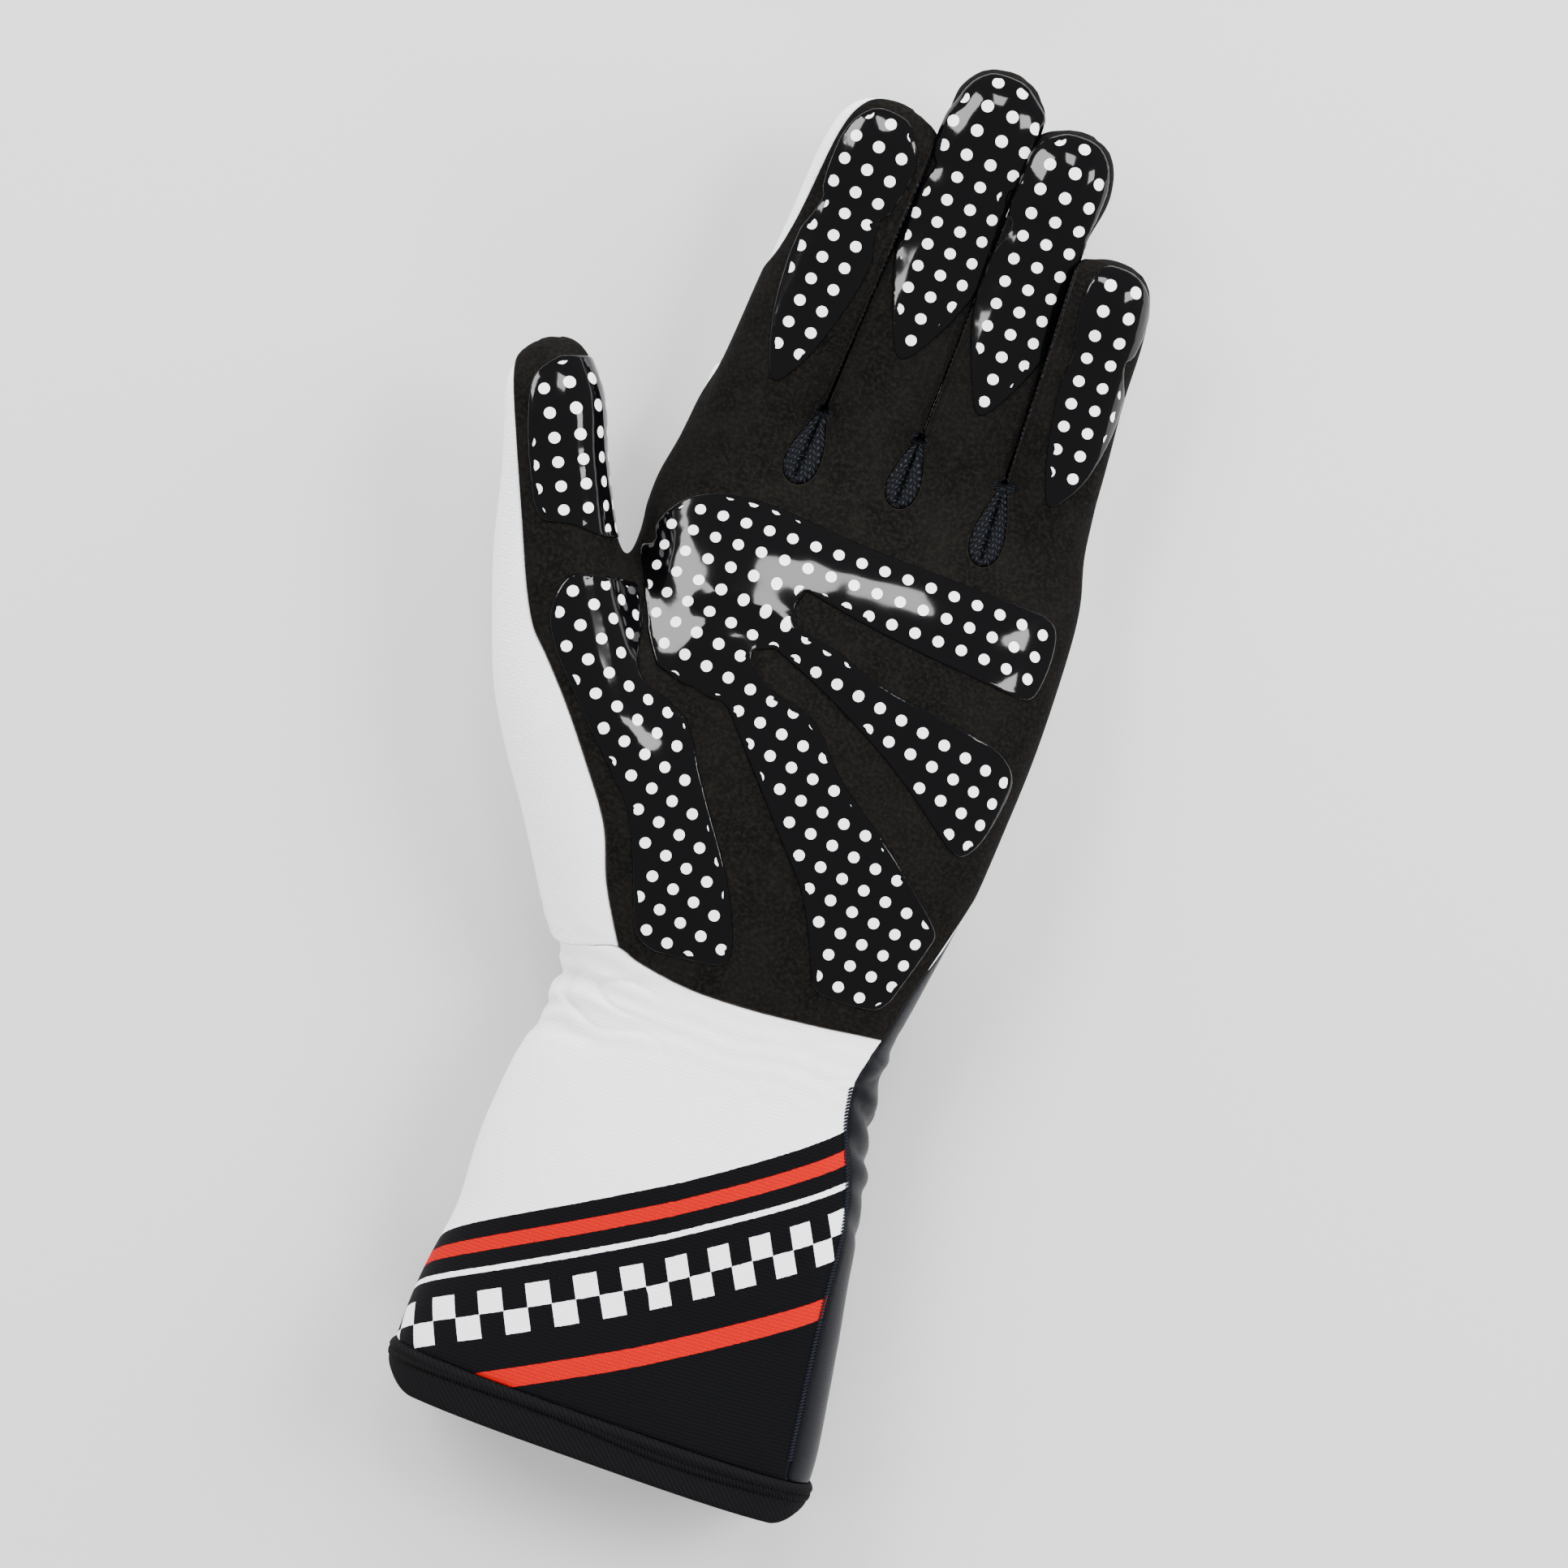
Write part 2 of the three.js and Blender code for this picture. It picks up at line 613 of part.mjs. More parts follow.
// The hollow glove, before it is cut into its pieces
const slits = union(crotches.map((crotch) => prism(strip(slitLine(crotch), fingerSlit / 2, 0))));
const partings = union(crotches.map((crotch) => prism(strip(slitLine(crotch), fingerSlit / 2 + wall, wall))));
const openMouth = prism([onCuff(-0.2, -1.4), onCuff(-0.2, 1.4), hemLine(1.4), hemLine(-1.4)]);
const hollow = handForm(-wall, inside).subtract(partings);
const mouth = bodyTube(-wall, inside).intersect(openMouth).translate(0, -hemHeight / 2, 0);
const shell = handForm(0).subtract(slits).subtract(hollow).subtract(mouth);

// The pieces
const [, aboveHem] = split(shell, hemOutline);
const hemRing = bodyTube(hemProud, outside).subtract(bodyTube(-wall, inside)).subtract(mouth);
const [hem] = split(hemRing, hemOutline);
const [gusset, besideGusset] = split(aboveHem, gussetOutline);
const fourchettes = crotches.map((crotch) => besideGusset.intersect(fourchetteCutter(crotch, 0)));
const besideFourchettes = crotches.reduce(
  (rest, crotch) => rest.subtract(fourchetteCutter(crotch, seamGap)),
  besideGusset,
);
const [cuff, hand] = split(besideFourchettes, cuffOutline);
const suedeSide = (gap) => upperHalf(gap / 2).intersect(prism(grow(suedeOutline, -gap / 2)));
const palm = hand.intersect(suedeSide(seamGap));
const back = hand.subtract(suedeSide(-seamGap));
const gripLayer = handForm(seamGap + gripThickness).subtract(handForm(seamGap)).intersect(upperHalf(wall));

// Materials
const suede = { color: "#1b1916", roughness: 0.95, metalness: 0 };
const silicone = { color: "#0a0a0b", roughness: 0.12, metalness: 0 };
const whiteCloth = { color: "#eeeef1", roughness: 0.85, metalness: 0 };
const printedCloth = { color: "#17161b", roughness: 0.8, metalness: 0 };
const satin = { color: "#14141b", roughness: 0.45, metalness: 0 };
const ribbedKnit = { color: "#1d1f26", roughness: 0.8, metalness: 0 };
const twill = { color: "#121314", roughness: 0.85, metalness: 0 };

const glove = new THREE.Group();

function addPiece(name, solid, finish) {
  const { vertProperties, triVerts } = largest(solid).getMesh();
  const geometry = new THREE.BufferGeometry();
  geometry.setAttribute("position", new THREE.BufferAttribute(new Float32Array(vertProperties), 3));
  geometry.setIndex(new THREE.BufferAttribute(new Uint32Array(triVerts), 1));
  geometry.computeVertexNormals();
  const mesh = new THREE.Mesh(geometry, new THREE.MeshStandardMaterial(finish));
  mesh.name = name;
  glove.add(mesh);
}

addPiece("palm_panel", palm, suede);
addPiece("back_panel", back, whiteCloth);
addPiece("cuff_panel", cuff, printedCloth);
addPiece("side_gusset", gusset, satin);
addPiece("cuff_hem", hem, twill);
crotches.forEach((crotch, i) => addPiece(crotch.name, fourchettes[i], ribbedKnit));
grips.forEach((grip, order) => addPiece(grip.name, gripSolid(grip, order), silicone));

// The origin is the middle of the glove's footprint, on the floor.
const extent = new THREE.Box3().setFromObject(glove);
const middle = extent.getCenter(new THREE.Vector3());
glove.position.set(-middle.x, -middle.y, -extent.min.z);

export default glove;
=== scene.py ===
import math

import bpy
import numpy as np
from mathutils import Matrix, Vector, noise
from mathutils.bvhtree import BVHTree


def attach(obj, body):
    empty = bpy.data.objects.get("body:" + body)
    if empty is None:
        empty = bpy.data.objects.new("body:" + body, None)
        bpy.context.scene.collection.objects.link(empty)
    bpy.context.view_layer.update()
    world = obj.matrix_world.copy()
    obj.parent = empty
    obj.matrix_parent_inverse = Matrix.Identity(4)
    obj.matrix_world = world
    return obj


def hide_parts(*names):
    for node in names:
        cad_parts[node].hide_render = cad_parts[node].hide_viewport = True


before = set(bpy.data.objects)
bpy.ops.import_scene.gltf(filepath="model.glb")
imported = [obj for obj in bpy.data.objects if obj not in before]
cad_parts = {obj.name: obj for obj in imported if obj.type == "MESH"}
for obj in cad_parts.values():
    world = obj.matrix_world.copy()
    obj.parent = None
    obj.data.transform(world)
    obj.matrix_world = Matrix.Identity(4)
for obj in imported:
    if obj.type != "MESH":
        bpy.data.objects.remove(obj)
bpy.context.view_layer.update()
mm = 0.001

# The glove lies on its back, palm up. Lengths are in millimetres, in the glove's own plan:
# y runs from the hem to the fingertips, x from its middle line towards the little finger.
glove = {
    "cuffLength": 100.0,
    "cuffWidth": 92.6,
    "cuffDepth": 34.0,
    "wristWidth": 74.0,
    "wristDepth": 31.0,
    "palmLength": 112.0,
    "palmWidth": 94.0,
    "palmDepth": 36.0,
    "fingerLength": 92.0,
    "fingerWidth": 23.5,
    "fingerDepth": 23.0,
    "fingerCurl": 12.0,
    "thumbLength": 125.5,
    "thumbWidth": 26.0,
    "thumbDepth": 23.0,
    "thumbLean": -24.7,
    "thumbRise": 31.0,
    "armShift": -1.7,
    "floorPress": 0.9,
    "planMiddle": (-16.7, 150.4),  # the point of the plan that is the frame's origin
    "bodySquareness": 2.7,
    "digitSquareness": 2.4,
}
halfPalm = glove["palmWidth"] / 2
cuffLength = glove["cuffLength"]
palmLength = glove["palmLength"]


def table(columns, *rows):
    return dict(zip(columns.split(), np.array(rows, float).T))


cuffSections = table(
    "at narrowing",
    (0.0, 0.05),
    (0.14, 0.0),
    (0.36, 0.25),
    (0.5, 0.42),
    (0.62, 0.52),
    (0.74, 0.72),
    (0.83, 0.92),
    (0.92, 1.0),
    (1.0, 1.0),
)
palmSections = table(
    "at left right nearWrist nearFingers",
    (0.0, 0.0, 0.0, 1.0, 0.0),
    (0.06, 0.35, 0.12, 0.8, 0.0),
    (0.15, 0.7, 0.3, 0.5, 0.0),
    (0.27, 0.9, 0.55, 0.2, 0.0),
    (0.45, 1.0, 0.78, 0.0, 0.0),
    (0.65, 1.0, 0.95, 0.0, 0.1),
    (0.8, 1.0, 1.0, 0.0, 0.35),
    (0.91, 0.95, 0.95, 0.0, 0.7),
    (1.0, 0.65, 0.72, 0.0, 0.95),
    (1.08, 0.5, 0.6, 0.0, 1.25),
    (1.15, 0.4, 0.45, 0.0, 1.7),
)
fingerForm = table(
    "at left right depth lift",
    (-0.22, 1.0, 1.0, 1.0, 0.0),
    (0.0, 1.0, 1.0, 1.0, 0.02),
    (0.2, 1.0, 1.0, 0.97, 0.08),
    (0.42, 1.01, 1.01, 0.94, 0.22),
    (0.6, 0.99, 1.0, 0.9, 0.4),
    (0.76, 1.0, 1.02, 0.88, 0.64),
    (0.86, 0.96, 0.98, 0.82, 0.8),
    (0.93, 0.85, 0.87, 0.68, 0.92),
    (0.975, 0.6, 0.64, 0.46, 0.98),
    (0.993, 0.34, 0.38, 0.26, 1.0),
    (1.0, 0.12, 0.14, 0.1, 1.0),
)
thumbForm = table(
    "at left right depth lift",
    (-0.05, 1.2, 1.3, 1.1, 0.47),
    (0.09, 1.4, 1.55, 1.3, 0.54),
    (0.22, 1.5, 1.5, 1.46, 0.61),
    (0.34, 1.62, 1.2, 1.5, 0.67),
    (0.45, 1.64, 0.92, 1.4, 0.73),
    (0.56, 1.5, 0.76, 1.22, 0.79),
    (0.68, 1.3, 0.66, 1.05, 0.85),
    (0.8, 1.0, 0.68, 0.97, 0.92),
    (0.88, 0.84, 0.76, 0.9, 0.96),
    (0.94, 0.72, 0.68, 0.72, 0.99),
    (0.98, 0.46, 0.52, 0.46, 1.0),
    (0.995, 0.22, 0.34, 0.24, 1.0),
    (1.0, 0.06, 0.16, 0.1, 1.0),
)


def makeDigit(name, length, width, rootAcross, rootAlong, lean, form, **more):
    turn = math.radians(lean)
    digit = {
        "name": name,
        "length": length,
        "width": width,
        "root": np.array([rootAcross * halfPalm, cuffLength + rootAlong * palmLength]),
        "along": np.array([math.sin(turn), math.cos(turn)]),
        "across": np.array([math.cos(turn), -math.sin(turn)]),
        "form": form,
        "depth": glove["fingerDepth"],
        "rise": glove["fingerCurl"],
        "restHeight": glove["fingerDepth"] / 2 - glove["floorPress"],
    }
    return digit | more


fingerRows = (
    # name, length and width as shares, root across and along the palm, lean, then the grip patch
    ("index", 0.865, 1.0, -0.66, 1.0, 8.0, {"from": 0.2, "to": 0.96, "left": 0.66, "right": 0.66}),
    ("middle", 1.0, 0.895, -0.15, 1.0, 5.0, {"from": 0.3, "to": 0.98, "left": 0.8, "right": 0.86}),
    ("ring", 0.91, 0.84, 0.28, 1.0, 4.0, {"from": 0.25, "to": 0.98, "left": 0.8, "right": 0.84}),
    ("little", 0.72, 0.815, 0.73, 0.94, -1.0, {"from": 0.2, "to": 0.975, "left": 0.45, "right": 0.95}),
)
fingers = []
for name, length, width, across, along, lean, grip in fingerRows:
    size = (length * glove["fingerLength"], width * glove["fingerWidth"])
    fingers.append(makeDigit(name, *size, across, along, lean, fingerForm, grip=grip))
thumb = makeDigit(
    "thumb", glove["thumbLength"], glove["thumbWidth"], -0.51, 0.07, glove["thumbLean"], thumbForm,
    depth=glove["thumbDepth"], rise=glove["thumbRise"], restHeight=0.0,
)
index, middle, ring, little = fingers
digits = fingers + [thumb]


def mix(a, b, t):
    return a + (b - a) * t


def smooth(t):
    t = np.clip(t, 0, 1)
    return t**2 * (3 - 2 * t)


def smoothAt(rows, column, at):
    # a smooth value between the rows of a table
    knots, values = rows["at"], rows[column]
    slopes = np.empty_like(values)
    slopes[1:-1] = (values[2:] - values[:-2]) / (knots[2:] - knots[:-2])
    slopes[[0, -1]] = (values[[1, -1]] - values[[0, -2]]) / (knots[[1, -1]] - knots[[0, -2]])
    k = np.clip(np.searchsorted(knots, at, side="right") - 1, 0, len(knots) - 2)
    span = knots[k + 1] - knots[k]
    t = np.clip((at - knots[k]) / span, 0, 1)
    value = (2 * t**3 - 3 * t**2 + 1) * values[k] + (3 * t**2 - 2 * t**3) * values[k + 1]
    return value + span * ((t**3 - 2 * t**2 + t) * slopes[k] + (t**3 - t**2) * slopes[k + 1])


def bodyAt(y):
    # half width left and right, and depth, of the cuff and palm at y
    inCuff = y <= cuffLength
    narrowing = np.where(inCuff, smoothAt(cuffSections, "narrowing", y / cuffLength), 1.0)
    share = (y - cuffLength) / palmLength
    palm = {name: np.where(inCuff, 0.0, smoothAt(palmSections, name, share)) for name in ("left", "right")}
    pull = {name: smoothAt(palmSections, name, share) for name in ("nearWrist", "nearFingers")}
    armHalf = mix(glove["cuffWidth"], glove["wristWidth"], narrowing) / 2
    armDepth = mix(glove["cuffDepth"], glove["wristDepth"], narrowing)
    left = mix(armHalf - glove["armShift"], halfPalm, palm["left"])
    right = mix(armHalf + glove["armShift"], halfPalm, palm["right"])
    handDepth = glove["palmDepth"] + pull["nearWrist"] * (armDepth - glove["palmDepth"])
    handDepth = handDepth + pull["nearFingers"] * (glove["fingerDepth"] - glove["palmDepth"])
    return left, right, np.where(inCuff, armDepth, handDepth)


def bodyMiddle(y):
    return bodyAt(y)[2] / 2 - glove["floorPress"]


def digitPlan(digit, x, y):
    # the share along a digit and the distance across it, seen from above
    dx, dy = x - digit["root"][0], y - digit["root"][1]
    share = (dx * digit["along"][0] + dy * digit["along"][1]) / digit["length"]
    return share, dx * digit["across"][0] + dy * digit["across"][1]


def digitAt(digit, share):
    half = digit["width"] / 2
    left, right = (smoothAt(digit["form"], side, share) * half for side in ("left", "right"))
    depth = smoothAt(digit["form"], "depth", share) * digit["depth"]
    height = digit["restHeight"] + digit["rise"] * smoothAt(digit["form"], "lift", share)
    return left, right, depth, height


def sectionDistance(across, rise, left, right, depth, squareness):
    # about the distance from a squared oval, negative inside it
    half = np.where(across < 0, left, right)
    a = np.abs(across) / half
    b = np.abs(rise) / (depth / 2)
    radius = np.maximum((a**squareness + b**squareness) ** (1 / squareness), 1e-4)
    power = squareness - 1
    steepness = np.hypot((a / radius) ** power / half, (b / radius) ** power / (depth / 2))
    return (radius - 1) / steepness


def softMin(a, b, k):
    h = np.clip(0.5 + 0.5 * (b - a) / k, 0, 1)
    return mix(b, a, h) - k * h * (1 - h)


def softMax(a, b, k):
    return -softMin(-a, -b, k)


# The slit between two neighbouring fingers: a line halfway between their facing edges
crotchRows = (
    # name, fingers on each side, foot of the slit, then the knit teardrop's length and width
    ("fourchette_index_middle", index, middle, 1.12, 0.17, 0.08),
    ("fourchette_middle_ring", middle, ring, 1.12, 0.16, 0.075),
    ("fourchette_ring_little", ring, little, 1.08, 0.18, 0.075),
)
slit = {
    "halfGap": 0.65,
    "knit": 1.15,
    "reach": 1.1,
    "closing": 1.5,
    "fade": 2.2,
    "touch": 0.08,
    "swell": 13.0,
}


def slitLine(a, b, foot):
    def edge(digit, side, y):
        lean = digit["along"][0] / digit["along"][1]
        half = digit["width"] / 2 / digit["along"][1]
        return digit["root"][0] + lean * (y - digit["root"][1]) + side * half

    def point(y):
        return np.array([(edge(a, 1, y) + edge(b, -1, y)) / 2, y])

    start = cuffLength + foot * palmLength
    return point(start), point(cuffLength + palmLength + max(a["length"], b["length"]) * slit["reach"])


def tipAbove(digit, foot):
    return digit["root"][1] + digit["along"][1] * digit["length"] - cuffLength - foot * palmLength


crotches = [
    {
        "name": name,
        "sides": (a["name"], b["name"]),
        "line": slitLine(a, b, foot),
        "reach": min(tipAbove(a, foot), tipAbove(b, foot)) + 1,  # up to the tip of the shorter finger
        "shorter": -1 if tipAbove(a, foot) < tipAbove(b, foot) else 1,  # the side that it is on
        "tearLength": long * palmLength,
        "tearWidth": wide * glove["palmWidth"],
    }
    for name, a, b, foot, long, wide in crotchRows
]


def slitDirections(crotch):
    # the foot of the slit, and the ways along and across it
    foot, end = crotch["line"]
    along = (end - foot) / np.linalg.norm(end - foot)
    return foot, along, np.array([along[1], -along[0]])


def besideSlit(crotch, x, y):
    # distance across from the slit's line, and along it from its foot
    foot, along, _ = slitDirections(crotch)
    dx, dy = x - foot[0], y - foot[1]
    return dx * along[1] - dy * along[0], dx * along[0] + dy * along[1]


grid = {"step": 1.0, "foot": -7.0, "low": (-90.0, -9.0, -5.0), "high": (54.0, 312.0, 50.0)}
blends = {"fingers": 3.0, "thumb": 4.5, "slits": 1.4}
bodyEnd = cuffLength + 1.15 * palmLength


def gloveField():
    axes = [np.arange(low, high, grid["step"]) for low, high in zip(grid["low"], grid["high"])]
    x, y, z = np.meshgrid(*axes, indexing="ij", sparse=True)
    left, right, depth = bodyAt(y)
    body = sectionDistance(x, z - bodyMiddle(y), left, right, depth, glove["bodySquareness"])
    body = np.maximum(body, np.maximum(y - bodyEnd, grid["foot"] - y))

    def tube(digit):
        share, across = digitPlan(digit, x, y)
        left, right, depth, height = digitAt(digit, share)
        distance = sectionDistance(across, z - height, left, right, depth, glove["digitSquareness"])
        first = digit["form"]["at"][0]
        ends = np.maximum(share - 1, first - share) * digit["length"]
        return np.maximum(distance, ends)

    def ownSide(finger):
        # a finger keeps to its side of the slits beside it
        distance = tube(finger)
        for crotch in crotches:
            side = {crotch["sides"][0]: 1, crotch["sides"][1]: -1}.get(finger["name"], 0)
            if side:
                across, along = besideSlit(crotch, x, y)
                within = np.minimum(along, crotch["reach"] - along)
                distance = np.maximum(distance, np.minimum(side * across + slit["halfGap"], within))
        return distance

    allFingers = np.minimum.reduce([ownSide(finger) for finger in fingers])
    form = softMin(body, allFingers, blends["fingers"])
    for crotch in crotches:
        across, along = besideSlit(crotch, x, y)
        gap = np.maximum(np.abs(across) - slit["halfGap"], np.maximum(-along, along - crotch["reach"]))
        form = softMax(form, -gap + 0 * z, blends["slits"])
    return softMin(form, tube(thumb), blends["thumb"])


def surfaceNets(field):
    # a mesh of the place where the field is zero: one point for each cell that it crosses
    cells = tuple(n - 1 for n in field.shape)
    inside = field < 0
    size = cells[0] * cells[1] * cells[2]
    total = np.zeros((size, 3))
    count = np.zeros(size)
    crossings = []
    for axis in range(3):
        low, high = [slice(None)] * 3, [slice(None)] * 3
        low[axis], high[axis] = slice(0, -1), slice(1, None)
        low, high = tuple(low), tuple(high)
        spots = np.argwhere(inside[low] != inside[high])
        first, second = field[low][tuple(spots.T)], field[high][tuple(spots.T)]
        points = spots.astype(float)
        points[:, axis] += first / (first - second)
        u, v = np.eye(3, dtype=int)[(axis + 1) % 3], np.eye(3, dtype=int)[(axis + 2) % 3]
        around = [np.ravel_multi_index((spots - step).T, cells) for step in (u + v, v, 0 * u, u)]
        for flat in around:
            count += np.bincount(flat, minlength=size)
            for k in range(3):
                total[:, k] += np.bincount(flat, weights=points[:, k], minlength=size)
        crossings.append((np.array(around).T, first < 0))
    used = np.flatnonzero(count)
    number = np.zeros(size, int)
    number[used] = np.arange(len(used))
    quads = np.concatenate([np.where(out[:, None], around, around[:, ::-1]) for around, out in crossings])
    points = np.array(grid["low"]) + grid["step"] * total[used] / count[used, None]
    quads = number[quads]
    firstDiagonal = np.linalg.norm(points[quads[:, 0]] - points[quads[:, 2]], axis=1)
    secondDiagonal = np.linalg.norm(points[quads[:, 1]] - points[quads[:, 3]], axis=1)
    firstShorter = (firstDiagonal < secondDiagonal)[:, None, None]
    split = np.where(firstShorter, [[0, 1, 2], [0, 2, 3]], [[1, 2, 3], [1, 3, 0]])
    tris = np.take_along_axis(quads[:, None, :].repeat(2, 1), split, axis=2).reshape(-1, 3)
    return points, tris


def sampleField(field, points):
    spots = (points - np.array(grid["low"])) / grid["step"]
    cell = np.clip(spots.astype(int), 0, np.array(field.shape) - 2)
    t = spots - cell
    value = 0
    for corner in np.ndindex(2, 2, 2):
        weight = np.prod(np.where(corner, t, 1 - t), axis=1)
        value = value + weight * field[tuple((cell + corner).T)]
    return value


def meshEdges(tris):
    pairs = np.sort(np.concatenate([tris[:, [0, 1]], tris[:, [1, 2]], tris[:, [2, 0]]]), axis=1)
    return np.unique(pairs, axis=0, return_inverse=True, return_counts=True)


def meanOfNeighbours(points, edges):
    total = np.zeros_like(points)
    for near, far in (edges.T, edges.T[::-1]):
        for k in range(3):
            total[:, k] += np.bincount(near, weights=points[far, k], minlength=len(points))
    return total / np.bincount(edges.ravel(), minlength=len(points))[:, None]


def evened(points, tris, field, rounds=6):
    # spreads the points evenly over the surface and keeps them on it
    edges, _, _ = meshEdges(tris)
    nudge = 0.5 * grid["step"]
    for _ in range(rounds):
        points = mix(points, meanOfNeighbours(points, edges), 0.6)
        slope = np.empty_like(points)
        for k, step in enumerate(nudge * np.eye(3)):
            rise = sampleField(field, points + step) - sampleField(field, points - step)
            slope[:, k] = rise / (2 * nudge)
        here = sampleField(field, points)
        steep = np.maximum((slope**2).sum(1), 0.2)
        points = points - np.clip(here / steep, -0.5, 0.5)[:, None] * slope
    return points


def normalsOf(points, tris):
    a, b, c = (points[tris[:, k]] for k in range(3))
    face = np.cross(b - a, c - a)
    total = np.zeros_like(points)
    for k in range(3):
        for j in range(3):
            total[:, j] += np.bincount(tris[:, k], weights=face[:, j], minlength=len(points))
    return total / np.maximum(np.linalg.norm(total, axis=1, keepdims=True), 1e-12)


# The plan's outlines, in shares of the size that each one follows
def onPalm(along, across):
    return np.array([across * halfPalm, cuffLength + along * palmLength])


def onCuff(along, across):
    return np.array([across * glove["cuffWidth"] / 2, along * cuffLength])


def onDigit(digit, along, across):
    aside = across * digit["width"] / 2
    return digit["root"] + along * digit["length"] * digit["along"] + aside * digit["across"]


def onThumb(along, across):
    return onDigit(thumb, along, across)


def curveThrough(points, steps=8):
    # a smooth line through points, with doubled points at its two ends
    p = np.array([points[0], *points, points[-1]], float)
    line = []
    for i in range(1, len(p) - 2):
        for t in np.arange(steps) / steps:
            a, b, c, d = p[i - 1 : i + 3]
            bend = 2 * a - 5 * b + 4 * c - d
            twist = 3 * b - a - 3 * c + d
            line.append(0.5 * (2 * b + (c - a) * t + bend * t**2 + twist * t**3))
    return np.array(line + [p[-2]])


def chain(edges, place, steps=6):
    # a closed outline of smooth edges, with a corner where one edge ends and the next starts
    outline = []
    for i, edge in enumerate(edges):
        stops = [place(*spot) for spot in [edges[i - 1][-1], *edge]]
        outline += list(curveThrough(stops, steps if len(stops) > 2 else 1)[1:])
    return np.array(outline)


def lineDistance(line, x, y, closed=False):
    # distance to a line, and how far along it the nearest spot lies
    starts, ends = (line, np.roll(line, -1, axis=0)) if closed else (line[:-1], line[1:])
    best = np.full(x.shape, 1e9)
    at = np.zeros(x.shape)
    run = 0.0
    for (ax, ay), (bx, by) in zip(starts, ends):
        dx, dy = bx - ax, by - ay
        length = max(math.hypot(dx, dy), 1e-9)
        t = np.clip(((x - ax) * dx + (y - ay) * dy) / length**2, 0, 1)
        away = np.hypot(x - ax - t * dx, y - ay - t * dy)
        at = np.where(away < best, run + t * length, at)
        best = np.minimum(best, away)
        run += length
    return best, at


def insideOutline(outline, x, y):
    # distance to a closed outline, positive inside it
    within = np.zeros(x.shape, bool)
    for (ax, ay), (bx, by) in zip(outline, np.roll(outline, -1, axis=0)):
        if ay != by:
            within ^= ((ay > y) != (by > y)) & (x < (bx - ax) * (y - ay) / (by - ay) + ax)
    away, _ = lineDistance(outline, x, y, closed=True)
    return np.where(within, away, -away)


hem = {"height": 9.5, "rake": 2.4, "footRound": 4.5, "footStart": 0.86}

# The seam at the wrist, from the thumb side to the little-finger side
wristSeam = [
    onPalm(0.01, -1.3),
    onPalm(0.01, -0.83),
    onPalm(0.04, -0.58),
    onPalm(0.025, -0.45),
    onPalm(0.005, -0.22),
    onPalm(0.0, 0.06),
    onPalm(0.005, 0.4),
    onPalm(0.012, 0.68),
    onPalm(0.02, 1.4),
]
cuffOutline = np.array([onCuff(-0.5, -1.6), onCuff(-0.5, 1.6), *curveThrough(wristSeam[::-1])])

# The suede: wrist seam, little-finger side, fingers, and the seam along the thumb
suedeOutline = np.array(
    [
        onPalm(-0.05, -0.45), onPalm(-0.05, 0.72), onPalm(0.1, 0.75), onPalm(0.3, 0.9),
        onPalm(0.36, 0.96), onPalm(0.42, 1.4), onPalm(2.0, 1.4),
        *curveThrough(
            [
                onDigit(index, 1.4, 1.0), onDigit(index, 1.06, 0.4), onDigit(index, 1.0, -0.2),
                onDigit(index, 0.96, -0.55), onDigit(index, 0.86, -0.76), onDigit(index, 0.6, -0.84),
                onDigit(index, 0.48, -1.02), onDigit(index, 0.4, -1.5),
            ]
        ),
        *curveThrough(
            [
                onThumb(1.2, 0.1), onThumb(1.03, -0.32), onThumb(0.96, -0.56), onThumb(0.84, -0.68),
                onThumb(0.7, -0.78), onThumb(0.6, -0.85), onThumb(0.53, -0.84), onThumb(0.48, -0.7),
                onThumb(0.4, -0.5), onThumb(0.3, -0.32), onThumb(0.19, -0.18), onThumb(0.09, -0.28),
                onThumb(-0.02, -0.25),
            ]
        ),
    ]
)

# The gusset on the little-finger side, from the hem to a point beside the palm
gussetOutline = np.array(
    [
        *curveThrough(
            [
                onCuff(-0.3, 0.86), onCuff(0.1, 0.85), onCuff(0.3, 0.82), onCuff(0.45, 0.8),
                onCuff(0.6, 0.79), onCuff(0.7, 0.75), onCuff(0.77, 0.7), onCuff(0.83, 0.66),
                onCuff(0.9, 0.64), onCuff(0.95, 0.66), onPalm(0.02, 0.7), onPalm(0.1, 0.75),
                onPalm(0.2, 0.84), onPalm(0.3, 0.91), onPalm(0.37, 1.0), onPalm(0.4, 1.4),
            ]
        ),
        onCuff(-0.3, 1.6),
    ]
)


def hemTop(x, y):
    # positive below the top of the hem, which runs down towards the little finger
    return hem["height"] - hem["rake"] * x / (glove["cuffWidth"] / 2) - y


def mouthEdge(x, y, z):
    # positive above the hem's lower edge, which turns up at both sides
    left, right, _ = bodyAt(y)
    side = np.where(x < 0, -x / left, x / right)
    lift = hem["footRound"] * np.clip((side - hem["footStart"]) / (1 - hem["footStart"]), 0, 1) ** 2
    return y + hem["rake"] * x / (glove["cuffWidth"] / 2) - lift


teardrop = {"points": 48, "taper": 1.5, "aboveFoot": 1.6}


def teardropOutline(crotch):
    foot, along, across = slitDirections(crotch)
    t = 2 * math.pi * (np.arange(teardrop["points"]) + 0.5) / teardrop["points"]
    side = np.sin(t) * np.abs(np.sin(t / 2)) ** teardrop["taper"] / 0.7 * crotch["tearWidth"] / 2
    down = crotch["tearLength"] * (0.5 - 0.5 * np.cos(t)) - teardrop["aboveFoot"]
    return foot - down[:, None] * along + side[:, None] * across


for crotch in crotches:
    crotch["teardrop"] = teardropOutline(crotch)


sideSeam = {"bodyEnd": 1.16, "settled": 0.4, "overhang": 1.3}


